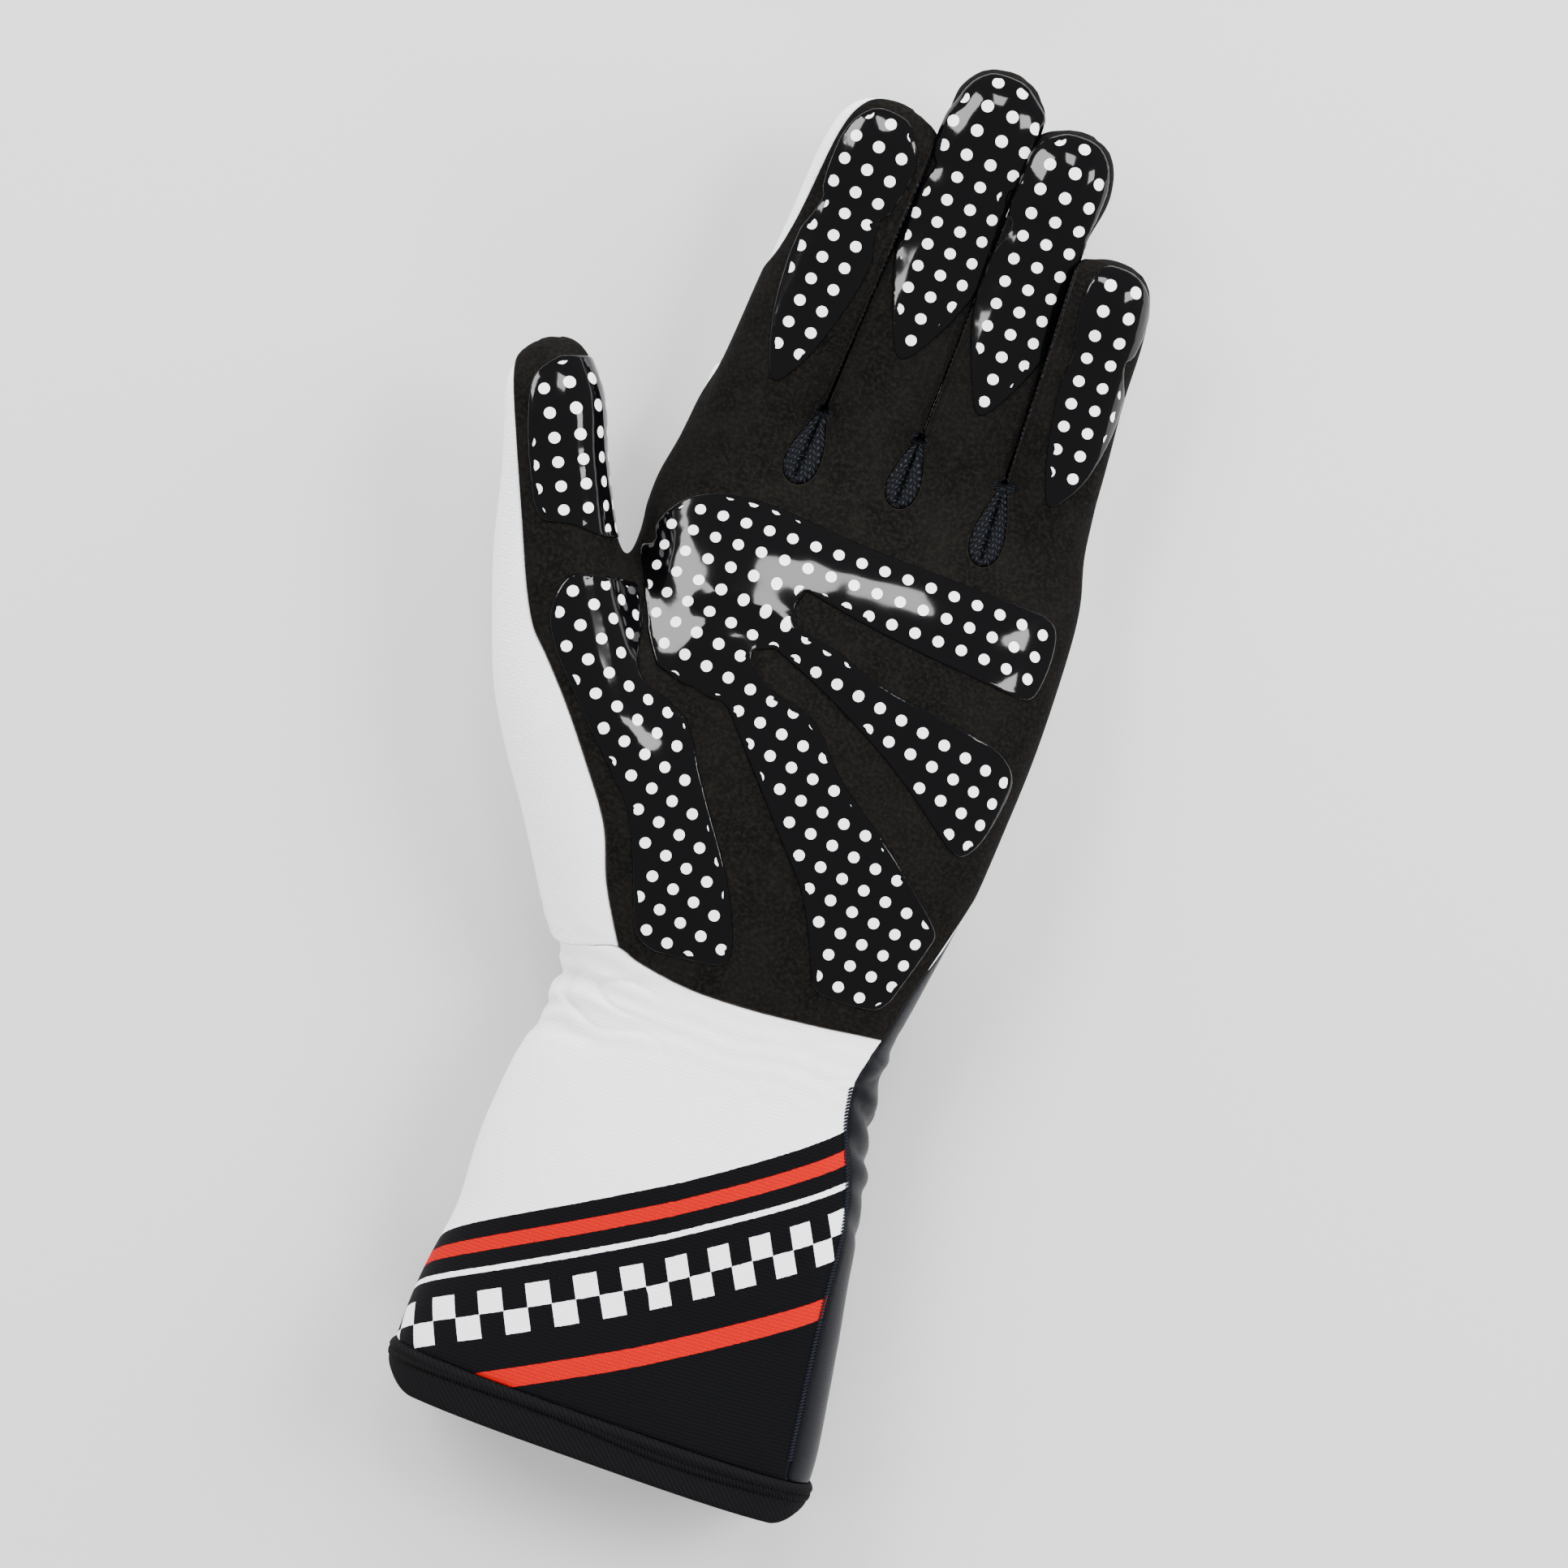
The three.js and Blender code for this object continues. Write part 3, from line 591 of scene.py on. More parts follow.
def palmSide(p):
    # height above the middle of each section, which parts the palm side from the back
    x, y, z = p.T
    middle = bodyMiddle(np.minimum(y, cuffLength + palmLength))
    best = np.where(y < cuffLength + sideSeam["bodyEnd"] * palmLength, z - middle, -1e3)
    for digit in digits:
        share, across = digitPlan(digit, x, y)
        left, right, _, height = digitAt(digit, share)
        fromRoot = share - digit["form"]["at"][0]
        if digit["name"] != "thumb":
            # the seam runs on from the palm into the finger without a step
            height = mix(middle, height, smooth(fromRoot / sideSeam["settled"]))
        reach = np.minimum(sideSeam["overhang"] * right - across, sideSeam["overhang"] * left + across)
        ends = np.minimum(sideSeam["overhang"] - share, fromRoot) * digit["length"]
        best = np.maximum(best, np.minimum(np.minimum(z - height, reach + 2), ends))
    return best


def fourchetteAt(p, crotch):
    x, y, _ = p.T
    across, along = besideSlit(crotch, x, y)
    strip = np.minimum(slit["halfGap"] + slit["knit"] - np.abs(across), along + 2)
    strip = np.minimum(strip, crotch["reach"] - 1 - along)
    tear = np.minimum(insideOutline(crotch["teardrop"], x, y), palmSide(p))
    return np.maximum(strip, tear)


def hemAt(p):
    return np.minimum(hemTop(p[:, 0], p[:, 1]), mouthEdge(*p.T))


def gussetAt(p):
    x, y, _ = p.T
    return np.minimum(insideOutline(gussetOutline, x, y), -hemTop(x, y))


def fourchettesAt(p):
    return np.maximum.reduce([fourchetteAt(p, crotch) for crotch in crotches])


def cuffAt(p):
    x, y, _ = p.T
    cuff = np.minimum(insideOutline(cuffOutline, x, y), -hemTop(x, y))
    return np.minimum(cuff, -insideOutline(gussetOutline, x, y))


def suedeAt(p):
    return np.minimum(insideOutline(suedeOutline, p[:, 0], p[:, 1]), palmSide(p))


def handAt(p):
    x, y, _ = p.T
    hand = np.minimum(-insideOutline(cuffOutline, x, y), -insideOutline(gussetOutline, x, y))
    return np.minimum(hand, -fourchettesAt(p))


def palmAt(p):
    return np.minimum(handAt(p), suedeAt(p))


def backAt(p):
    return np.minimum(handAt(p), -suedeAt(p))


# Silicone: two bands and a wedge across the palm, joined at the thumb side
palmGripEdges = [
    [(0.84, -0.91), (0.89, -0.8), (0.915, -0.6), (0.905, -0.3), (0.885, 0.05), (0.86, 0.84)],
    [(0.84, 0.91), (0.78, 0.93), (0.71, 0.9), (0.695, 0.84)],
    [(0.72, 0.43), (0.75, 0.05), (0.775, -0.2)],
    [(0.74, -0.23), (0.705, -0.2)],
    [(0.685, 0.0), (0.64, 0.29), (0.6, 0.75), (0.57, 0.88)],
    [(0.53, 0.91), (0.43, 0.86), (0.385, 0.79), (0.39, 0.72)],
    [(0.5, 0.4), (0.59, 0.06), (0.655, -0.26)],
    [(0.64, -0.35), (0.615, -0.34)],
    [(0.58, -0.22), (0.545, 0.0), (0.455, 0.19), (0.36, 0.47), (0.27, 0.7)],
    [(0.235, 0.77), (0.2, 0.76), (0.09, 0.67)],
    [(0.063, 0.6), (0.063, 0.38), (0.08, 0.31)],
    [(0.15, 0.25), (0.24, 0.15), (0.32, 0.0), (0.41, -0.17), (0.5, -0.34)],
    [(0.53, -0.42), (0.545, -0.62), (0.56, -0.75)],
    [(0.63, -0.85), (0.7, -0.9), (0.77, -0.97)],
]
thenarGripEdges = [
    [(0.6, 0.15), (0.59, 0.65)],
    [(0.565, 0.84), (0.52, 0.85), (0.46, 0.72), (0.42, 0.74), (0.385, 1.0), (0.34, 1.36)],
    [(0.2, 1.5), (0.07, 1.64), (-0.03, 1.6)],
    [(-0.065, 1.45), (-0.065, 1.15), (-0.03, 0.3)],
    [(0.0, 0.08), (0.05, 0.1), (0.19, 0.24), (0.27, 0.08), (0.37, -0.22), (0.48, -0.52)],
    [(0.54, -0.54), (0.59, -0.3), (0.605, -0.05)],
]
thumbGripEdges = [
    [(0.962, 0.2), (0.935, -0.24), (0.87, -0.42), (0.8, -0.5), (0.73, -0.53)],
    [(0.7, -0.42), (0.685, 0.0), (0.66, 0.5), (0.655, 1.2)],
    [(0.95, 1.4)],
    [(0.962, 0.2)],
]
# The patch that every finger has, from its foot (0) to its top (1), with a notch at the joint
fingerGripEdges = [
    [(0.99, 0.45), (0.94, 0.82), (0.86, 1.0), (0.76, 1.0)],
    [(0.68, 0.92), (0.65, 0.8), (0.6, 0.84), (0.52, 1.0)],
    [
        (0.36, 0.96), (0.16, 0.68), (0.04, 0.3), (0.0, 0.0),
        (0.05, -0.3), (0.2, -0.72), (0.38, -0.96), (0.52, -1.0),
    ],
    [(0.6, -0.84), (0.65, -0.8), (0.68, -0.92), (0.76, -1.0)],
    [(0.86, -1.0), (0.94, -0.82), (0.99, -0.45), (1.0, 0.0)],
]


def fingerGripOutline(finger):
    grip = finger["grip"]

    def place(along, across):
        half = grip["left"] if across < 0 else grip["right"]
        return onDigit(finger, mix(grip["from"], grip["to"], along), across * half)

    return chain(fingerGripEdges, place)


# Each patch gives way to those that are named before it
gripShape = {
    "parting": 1.2,
    "height": 0.45,
    "edge": 0.4,
    "sunk": 0.3,
    "waviness": 0.06,
    "waveSize": 6.0,
    "rings": (0.06, 0.18, 0.35, 0.6),
    "bridging": 8,
}
grips = {finger["name"] + "_grip": fingerGripOutline(finger) for finger in fingers}
grips["thenar_grip"] = chain(thenarGripEdges, onThumb)
grips["thumb_grip"] = chain(thumbGripEdges, onThumb)
grips["palm_grip"] = chain(palmGripEdges, onPalm)


def gripAt(p, name):
    x, y, _ = p.T
    patch = np.minimum(insideOutline(grips[name], x, y), palmSide(p) - 1)
    for other in list(grips)[: list(grips).index(name)]:
        if not other.startswith(("index", "middle", "ring", "little")):
            patch = np.minimum(patch, -insideOutline(grips[other], x, y) - gripShape["parting"])
    return patch


# Cutting: a mesh is a dict of points, their place in the plan, and triangles
def splitEdges(mesh, marked, share):
    # adds a point on each marked edge, at its share along it, and parts the triangles there
    tris = mesh["tris"]
    pairs = np.stack([tris, np.roll(tris, -1, axis=1)], axis=2)
    low, high = pairs.min(2), pairs.max(2)
    keys = low * len(mesh["points"]) + high
    unique, where = np.unique(keys, return_inverse=True)
    a, b = np.divmod(unique, len(mesh["points"]))
    chosen = marked(a, b)
    t = share(a[chosen], b[chosen])[:, None]
    number = np.full(len(unique), -1)
    number[chosen] = len(mesh["points"]) + np.arange(chosen.sum())
    halfway = number[where.reshape(keys.shape)]
    result = {}
    for name in ("points", "plan"):
        old = mesh[name]
        result[name] = np.concatenate([old, mix(old[a[chosen]], old[b[chosen]], t)])
    count = (halfway >= 0).sum(1)
    parts = [tris[count == 0]]
    for n in (1, 2, 3):
        some, cut = tris[count == n], halfway[count == n]
        if n == 1:
            first = (cut >= 0).argmax(1)
        elif n == 2:
            first = ((cut < 0).argmax(1) + 1) % 3
        else:
            first = np.zeros(len(some), int)
        turn = (first[:, None] + np.arange(3)) % 3
        p, q, r = np.take_along_axis(some, turn, 1).T
        pq, qr, rp = np.take_along_axis(cut, turn, 1).T
        faces = {
            1: ((p, pq, r), (pq, q, r)),
            2: ((pq, q, qr), (p, pq, r), (pq, qr, r)),
            3: ((p, pq, rp), (pq, q, qr), (rp, qr, r), (pq, qr, rp)),
        }[n]
        parts += [np.stack(face, axis=1) for face in faces]
    return result | {"tris": np.concatenate(parts)}


def cutAt(mesh, fieldAt, level=0.0, snap=0.04):
    # parts the triangles along the line where the field has this level
    values = fieldAt(mesh["plan"]) - level
    values = np.where(np.abs(values) < snap, 0.0, values)
    cut = splitEdges(
        mesh,
        lambda a, b: values[a] * values[b] < 0,
        lambda a, b: values[a] / (values[a] - values[b]),
    )
    fresh = len(cut["points"]) - len(values)
    return cut, np.concatenate([values, np.zeros(fresh)])


def refined(mesh, nearAt, rounds):
    # halves the edges where the field is positive
    for _ in range(rounds):
        near = nearAt(mesh["plan"]) > 0
        mesh = splitEdges(mesh, lambda a, b: near[a] & near[b], lambda a, b: np.full(len(a), 0.5))
    return mesh


def compact(mesh, wanted):
    used, tris = np.unique(mesh["tris"][wanted], return_inverse=True)
    return {name: mesh[name][used] for name in ("points", "plan")} | {"tris": tris.reshape(-1, 3)}


def mainPart(mesh):
    # leaves out the crumbs that a cut can part from the rest
    edges, _, _ = meshEdges(mesh["tris"])
    label = np.arange(len(mesh["points"]))
    while True:
        fresh = label.copy()
        low = label[edges].min(1)
        np.minimum.at(fresh, edges[:, 0], low)
        np.minimum.at(fresh, edges[:, 1], low)
        fresh = fresh[fresh]
        if (fresh == label).all():
            break
        label = fresh
    owner = label[mesh["tris"][:, 0]]
    return compact(mesh, owner == np.bincount(owner).argmax())


def pieceOf(mesh, fieldAt, gap, rings):
    # the part of a mesh where the field is above the gap, with rings of points near its edge
    cut, values = cutAt(mesh, fieldAt, gap)
    piece = mainPart(compact(cut, values[cut["tris"]].sum(1) > 0))
    for ring in rings:
        piece, _ = cutAt(piece, fieldAt, gap + ring)
    return piece


def thickened(mesh, top, bottom, footing=0.6):
    # a closed wall between the surface moved out by top and moved in by bottom
    points, tris = mesh["points"], mesh["tris"]
    normals = normalsOf(points, tris)
    count = len(points)
    edges, _, uses = meshEdges(tris)
    onEdge = {tuple(edge) for edge in edges[uses == 1].tolist()}
    loops = np.concatenate([tris[:, [0, 1]], tris[:, [1, 2]], tris[:, [2, 0]]])
    rim = loops[[(min(edge), max(edge)) in onEdge for edge in loops.tolist()]]
    a, b = rim.T
    rimFaces = np.concatenate([np.stack([b, a, a + count], 1), np.stack([b, a + count, b + count], 1)])
    outer = points + normals * np.reshape(top, (-1, 1))
    inner = points - normals * np.reshape(bottom, (-1, 1))
    outer[:, 2] = np.maximum(outer[:, 2], 0)
    inner[:, 2] = np.maximum(inner[:, 2], footing)
    return {
        "points": np.concatenate([outer, inner]),
        "plan": np.concatenate([mesh["plan"]] * 2),
        "tris": np.concatenate([tris, tris[:, ::-1] + count, rimFaces]),
        "inner": np.repeat([0.0, 1.0], count),
    }


def toFrame(points):
    # from the plan, in millimetres, to the part's frame, in metres
    return (points - np.array([*glove["planMiddle"], 0])) * mm


def makeObject(name, mesh, material, values=None, uv=None):
    data = bpy.data.meshes.new(name)
    data.from_pydata(toFrame(mesh["points"]).tolist(), [], mesh["tris"].tolist())
    for label, numbers in (values or {}).items():
        attribute = data.attributes.new(label, "FLOAT", "POINT")
        attribute.data.foreach_set("value", np.asarray(numbers, np.float32))
    if uv is not None:
        corners = uv[mesh["tris"].ravel()] * mm
        data.uv_layers.new(name="cloth").data.foreach_set("uv", corners.astype(np.float32).ravel())
    data.polygons.foreach_set("use_smooth", [True] * len(data.polygons))
    data.materials.append(material)
    item = bpy.data.objects.new(name, data)
    bpy.context.scene.collection.objects.link(item)
    return item


def mount(item, slotName, *nodes):
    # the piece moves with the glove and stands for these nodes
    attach(item, "root")
    if nodes:
        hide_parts(*nodes)
    print(item.name, len(item.data.polygons), "faces")


# Sculpting: dents, folds and gathers press the surface in
relief = {
    "cupDepth": 2.2,
    "foldDepth": 2.4,
    "gatherPlace": 0.93,
    "gatherReach": 9.0,
    "gatherDepth": 1.0,
    "gatherPitch": 4.6,
    "jointDepth": 0.55,
    "slack": 0.35,
    "slackSize": 24.0,
    "crumple": 1.3,
    "crumpleSize": 7.0,
    "crotchEasing": 60,
}
dents = (
    # share along the cuff and across the palm, reach along and across, share of foldDepth
    (0.97, -0.78, 0.05, 0.25, 0.7),
    (0.86, -0.72, 0.04, 0.2, 0.6),
    (0.79, 0.78, 0.06, 0.16, 0.35),
    (0.64, 0.86, 0.06, 0.14, 0.3),
    (0.42, -0.9, 0.09, 0.25, 0.5),
    (0.3, 0.35, 0.16, 0.3, 0.4),
)
palmFolds = (
    # stops along and across the palm, width, depth at the start and at the end (below 0 stands proud)
    ([(0.73, -1.02), (0.62, -0.87), (0.545, -0.77), (0.51, -0.56), (0.46, -0.22)], 4.6, 3.8, 0.8),
    ([(0.68, -0.93), (0.69, -0.6), (0.66, -0.28), (0.6, 0.02), (0.52, 0.3)], 2.4, 0.5, 0.9),
    ([(0.7, -0.78), (0.72, -0.5), (0.7, -0.25), (0.65, 0.05), (0.58, 0.35)], 1.7, -0.2, -0.9),
    ([(0.585, -0.72), (0.6, -0.5), (0.58, -0.28)], 1.6, -0.3, -0.5),
    ([(0.36, -1.28), (0.42, -1.0), (0.47, -0.74)], 3.0, 0.2, -1.0),
    ([(0.15, -1.12), (0.08, -0.9), (0.02, -0.66)], 2.4, 0.9, 0.2),
    ([(0.26, -1.24), (0.15, -1.0), (0.07, -0.78)], 3.0, 0.7, 0.2),
    ([(0.8, 0.86), (0.74, 0.5), (0.7, 0.15)], 4.0, 0.5, 0.2),
)


def softNoise(points, size, seed):
    shift = Vector((seed * 7.3, seed * 3.1, seed * 1.7))
    return np.array([noise.noise(Vector(p) / size + shift) for p in points.tolist()])


def foldAt(fold, x, y):
    stops, width, first, last = fold
    line = curveThrough([onPalm(*stop) for stop in stops])
    away, at = lineDistance(line, x, y)
    along = at / np.linalg.norm(np.diff(line, axis=0), axis=1).sum()
    fade = np.clip((1 - along) / 0.3, 0, 1)
    return mix(first, last, along) * fade * np.exp(-((away / width) ** 2))


def gathersAt(plan, normals):
    # the elastic at the wrist, strongest on the thumb side and on the back
    fromBand = plan[:, 1] - relief["gatherPlace"] * cuffLength
    near = np.exp(-((fromBand / relief["gatherReach"]) ** 2))
    press = np.zeros(len(plan))
    some = near > 0.02
    spots = plan[some]
    strength = np.maximum(np.clip((-spots[:, 0] - 12) / 20, 0, 1), np.clip(-normals[some, 2] * 1.4, 0, 1))
    drift = 3.0 * softNoise(spots, 16.0, 5)
    rings = 0.5 - 0.5 * np.cos(2 * math.pi * (spots[:, 1] + drift) / relief["gatherPitch"])
    creases = 1 - 3.2 * np.abs(softNoise(spots * np.array([0.55, 1.0, 0.7]), relief["crumpleSize"], 9))
    waves = relief["gatherDepth"] * rings + relief["crumple"] * np.clip(creases, 0, 1) ** 2
    press[some] = near[some] * (0.2 + 0.8 * strength) * waves
    return press


def pressAt(plan, normals):
    x, y, _ = plan.T
    palmFacing = np.clip(normals[:, 2] * 1.6, 0, 1)
    along = (y - cuffLength - 0.5 * palmLength) / (0.32 * palmLength)
    across = (x - 0.05 * halfPalm) / (0.45 * halfPalm)
    press = relief["cupDepth"] * np.exp(-(along**2) - across**2)
    for fold in palmFolds:
        press = press + foldAt(fold, x, y)
    for finger in fingers:
        share, aside = digitPlan(finger, x, y)
        joint = mix(finger["grip"]["from"], finger["grip"]["to"], 0.65)
        near = np.exp(-(((share - joint) * finger["length"] / 3.0) ** 2))
        press = press + relief["jointDepth"] * near * (np.abs(aside) < 0.6 * finger["width"])
    pressedDown = press * palmFacing
    drawnIn = gathersAt(plan, normals) + relief["slack"] * softNoise(plan, relief["slackSize"], 2)
    for dentAlong, dentAcross, reachAlong, reachAcross, depth in dents:
        a = (y / cuffLength - dentAlong) / reachAlong
        b = (x / halfPalm - dentAcross) / reachAcross
        drawnIn = drawnIn + relief["foldDepth"] * depth * np.exp(-(a**2) - b**2)
    return drawnIn, pressedDown


def fingersTogether(plan):
    # the fingers lie against each other, so both sides of a slit move towards its line
    moved = np.zeros_like(plan)
    for crotch in crotches:
        _, _, aside = slitDirections(crotch)
        across, along = besideSlit(crotch, plan[:, 0], plan[:, 1])
        near = np.exp(-((np.clip(np.abs(across) - slit["closing"], 0, None) / slit["fade"]) ** 2))
        past = along - crotch["reach"]
        near = near * np.clip((along + 0.5) / 1.5, 0, 1) * np.clip((3 - past) / 3, 0, 1)
        push = -near * np.sign(across) * np.clip(np.abs(across) - slit["touch"], 0, slit["closing"])
        # past the tip of the shorter one, the side of the longer one swells out little by little
        out = across * crotch["shorter"]
        drawn = np.clip(out, 0, 6) * (1 - smooth(past / slit["swell"]))
        push = np.where((past > 0) & (out > 0), -crotch["shorter"] * drawn, push)
        moved[:, :2] += push[:, None] * aside
    return moved


def eased(mesh, nearAt, rounds):
    # evens out the surface where the field is above 0
    points = mesh["points"]
    edges, _, _ = meshEdges(mesh["tris"])
    strength = 0.5 * np.clip(nearAt(mesh["plan"]), 0, 1)[:, None]
    for _ in range(rounds):
        points = mix(points, meanOfNeighbours(points, edges), strength)
    return mesh | {"points": points}


def sculpted(mesh):
    normals = normalsOf(mesh["points"], mesh["tris"])
    drawnIn, pressedDown = pressAt(mesh["plan"], normals)
    points = mesh["points"] - normals * drawnIn[:, None]
    points[:, 2] -= pressedDown
    points = points + fingersTogether(mesh["plan"])
    points[:, 2] = np.maximum(points[:, 2], 0)
    return mesh | {"points": points}


def wristAt(p):
    return np.minimum(p[:, 1] - 0.84 * cuffLength, 1.05 * cuffLength - p[:, 1])


def teardropsAt(p):
    x, y, _ = p.T
    nearest = np.maximum.reduce([insideOutline(crotch["teardrop"], x, y) for crotch in crotches])
    return np.minimum(nearest + 1.2, palmSide(p))


def thumbCrotchAt(p):
    # near the fold where the thumb leaves the palm
    line = np.array([onPalm(*stop) for stop in palmFolds[0][0][:4]])
    away, _ = lineDistance(line, p[:, 0], p[:, 1])
    return np.minimum((14 - away) / 6, palmSide(p) / 3 + 2)


field = gloveField()
print("glove field", field.shape)
points, tris = surfaceNets(field)
points = evened(points, tris, field)
form = {"points": points, "plan": points.copy(), "tris": tris}
form = refined(form, wristAt, 1)
form = refined(form, teardropsAt, 2)
form = eased(sculpted(form), thumbCrotchAt, relief["crotchEasing"])
surface = BVHTree.FromPolygons(form["points"].tolist(), form["tris"].tolist())
print("glove form", len(form["points"]), "points", len(form["tris"]), "triangles")


# The cloth laid flat, in millimetres: its weave and print follow these lengths
def arcTable(half, rise, squareness):
    # the length round a squared oval, anticlockwise from its right side
    turns = np.linspace(0, 2 * math.pi, 721)
    x = np.sign(np.cos(turns)) * np.abs(np.cos(turns)) ** (2 / squareness) * half
    y = np.sign(np.sin(turns)) * np.abs(np.sin(turns)) ** (2 / squareness) * rise
    steps = np.hypot(np.diff(x), np.diff(y))
    return turns, np.concatenate([[0], np.cumsum(steps)])


armTurns, armLengths = arcTable(glove["cuffWidth"] / 2, glove["cuffDepth"] / 2, glove["bodySquareness"])


def roundArm(p, firstTurn=0.0):
    # round the arm from the middle of the palm side, and along it
    x, y, z = p.T
    left, right, depth = bodyAt(y)
    a = x / np.where(x < 0, left, right)
    b = (z - bodyMiddle(y)) / (depth / 2)
    power = glove["bodySquareness"] / 2
    turn = np.arctan2(np.sign(b) * np.abs(b) ** power, np.sign(a) * np.abs(a) ** power)
    turn = np.mod(turn - firstTurn, 2 * math.pi) + firstTurn
    length = np.interp(np.mod(turn, 2 * math.pi), armTurns, armLengths)
    length = length - np.where(turn < 0, armLengths[-1], 0)
    return np.stack([np.interp(math.pi / 2, armTurns, armLengths) - length, y], axis=1)


def roundHand(p):
    # as seen from above, with the height laid out to the side
    x, y, z = p.T
    return np.stack([x + z * np.clip(x / 20, -1, 1), y], axis=1)


def makePanel(node, fieldAt, look, material, slotName, uvOf, shapeAt=None):
    rings = [share * look["rollWidth"] for share in seam["rings"]]
    piece = pieceOf(form, fieldAt, seam["gap"], rings)
    edge = fieldAt(piece["plan"]) - seam["gap"]
    near = 1 - np.clip(edge / look["rollWidth"], 0, 1)
    top = look["lift"] - look["roll"] * (1 - np.sqrt(1 - near**2))
    if shapeAt:
        top = top + shapeAt(piece["plan"])
    solid = thickened(piece, top, look["wall"] - look["lift"])
    values = {"inner": solid["inner"], "edge": np.tile(edge, 2)}
    item = makeObject(node + "_look", solid, material, values, uvOf(solid["plan"]))
    mount(item, slotName, node)


# Materials
def linear(hexCode):
    # a screen colour as linear light
    channels = [int(hexCode[i : i + 2], 16) / 255 for i in (0, 2, 4)]
    return (*[c / 12.92 if c <= 0.04045 else ((c + 0.055) / 1.055) ** 2.4 for c in channels], 1.0)


def add(tree, kind, inputs=(), out=0, **settings):
    # one node; its inputs, by place or name, are values or the outputs of other nodes
    node = tree.nodes.new(kind)
    for name, value in settings.items():
        setattr(node, name, value)
    for place, value in inputs.items() if isinstance(inputs, dict) else enumerate(inputs):
        if isinstance(value, bpy.types.NodeSocket):
            tree.links.new(value, node.inputs[place])
        else:
            node.inputs[place].default_value = value
    return node.outputs[out]


def newMaterial(name, **shader):
    material = bpy.data.materials.new(name)
    material.use_nodes = True
    tree = material.node_tree
    skin = tree.nodes["Principled BSDF"]
    for socket, value in shader.items():
        skin.inputs[socket.replace("_", " ")].default_value = value
    return material, tree, skin


def finishSkin(tree, skin, colour, height, depth):
    tree.links.new(colour, skin.inputs["Base Color"])
    bump = add(tree, "ShaderNodeBump", {"Height": height, "Distance": depth, "Strength": 1.0})
    tree.links.new(bump, skin.inputs["Normal"])


def speckle(tree, size, detail=2.0):
    place = add(tree, "ShaderNodeTexCoord", out="Object")
    return add(tree, "ShaderNodeTexNoise", {"Vector": place, "Scale": 1 / size, "Detail": detail})


def knitLoops(tree, columnWidth, courseHeight, lean=1.1):
    # columns of V-shaped loops, from 0 in the valleys to 1 on the loops
    place = add(tree, "ShaderNodeSeparateXYZ", (add(tree, "ShaderNodeUVMap", uv_map="cloth"),)).node
    across, along = place.outputs[0], place.outputs[1]
    column = add(tree, "ShaderNodeMath", (across, columnWidth), operation="DIVIDE")
    column = add(tree, "ShaderNodeMath", (column, 0.5), operation="PINGPONG")
    course = add(tree, "ShaderNodeMath", (along, courseHeight), operation="DIVIDE")
    course = add(tree, "ShaderNodeMath", (column, lean, course), operation="MULTIPLY_ADD")
    wave = add(tree, "ShaderNodeMath", (course, 2 * math.pi), operation="MULTIPLY")
    wave = add(tree, "ShaderNodeMath", (wave,), operation="SINE")
    wave = add(tree, "ShaderNodeMath", (wave, 0.5, 0.5), operation="MULTIPLY_ADD")
    crown = add(tree, "ShaderNodeMath", (column, 2 * math.pi), operation="MULTIPLY")
    crown = add(tree, "ShaderNodeMath", (crown,), operation="SINE")
    return add(tree, "ShaderNodeMath", (wave, crown), operation="MULTIPLY")


# The real nap's fibres are about 0.1 mm apart; they are drawn coarser so that they show
suedeNap = {"patch": 9.0, "fibre": 0.8, "depth": 0.15, "rawEdge": 0.3}


def suedeMaterial():
    # microfibre suede, cut and brushed: matt, with a short nap that lightens in patches and a raw edge
    # that shows its paler core
    material, tree, skin = newMaterial("microfibre_suede", Roughness=0.95, Specular_IOR_Level=0.08)
    nap = speckle(tree, suedeNap["patch"] * mm, 3.0)
    nap = add(tree, "ShaderNodeMapRange", (nap, 0.35, 0.7))
    shades = {0: nap, 6: linear("070706"), 7: linear("0e0d0c")}
    colour = add(tree, "ShaderNodeMix", shades, 2, data_type="RGBA")
    fibre = speckle(tree, suedeNap["fibre"] * mm)
    fleck = add(tree, "ShaderNodeMapRange", (fibre, 0.4, 0.75))
    shades = {0: fleck, 6: colour, 7: linear("151311")}
    colour = add(tree, "ShaderNodeMix", shades, 2, data_type="RGBA")
    edge = add(tree, "ShaderNodeAttribute", out="Fac", attribute_name="edge")
    raw = add(tree, "ShaderNodeMapRange", (edge, suedeNap["rawEdge"], 0.05))
    shades = {0: raw, 6: colour, 7: linear("2a241e")}
    colour = add(tree, "ShaderNodeMix", shades, 2, data_type="RGBA")
    finishSkin(tree, skin, colour, fibre, suedeNap["depth"] * mm)
    return material


# The real knit has about 16 courses to the centimetre; it is drawn coarser so that it shows
clothKnit = {"column": 0.9, "course": 0.8, "depth": 0.06}


def whiteClothMaterial():
    # bleached stretch polyester knit: soft white, with fine columns of loops
    finish = {"Roughness": 0.85, "Specular_IOR_Level": 0.2, "Sheen_Weight": 0.04}
    material, tree, skin = newMaterial("white_polyester_knit", **finish)
    loops = knitLoops(tree, clothKnit["column"] * mm, clothKnit["course"] * mm)
    # painted shade: the valleys between the loops are painted darker and the crests of the loops lighter
    shades = {0: loops, 6: linear("e4e4e9"), 7: linear("f3f3f6")}
    colour = add(tree, "ShaderNodeMix", shades, 2, data_type="RGBA")
    finishSkin(tree, skin, colour, loops, clothKnit["depth"] * mm)
    return material


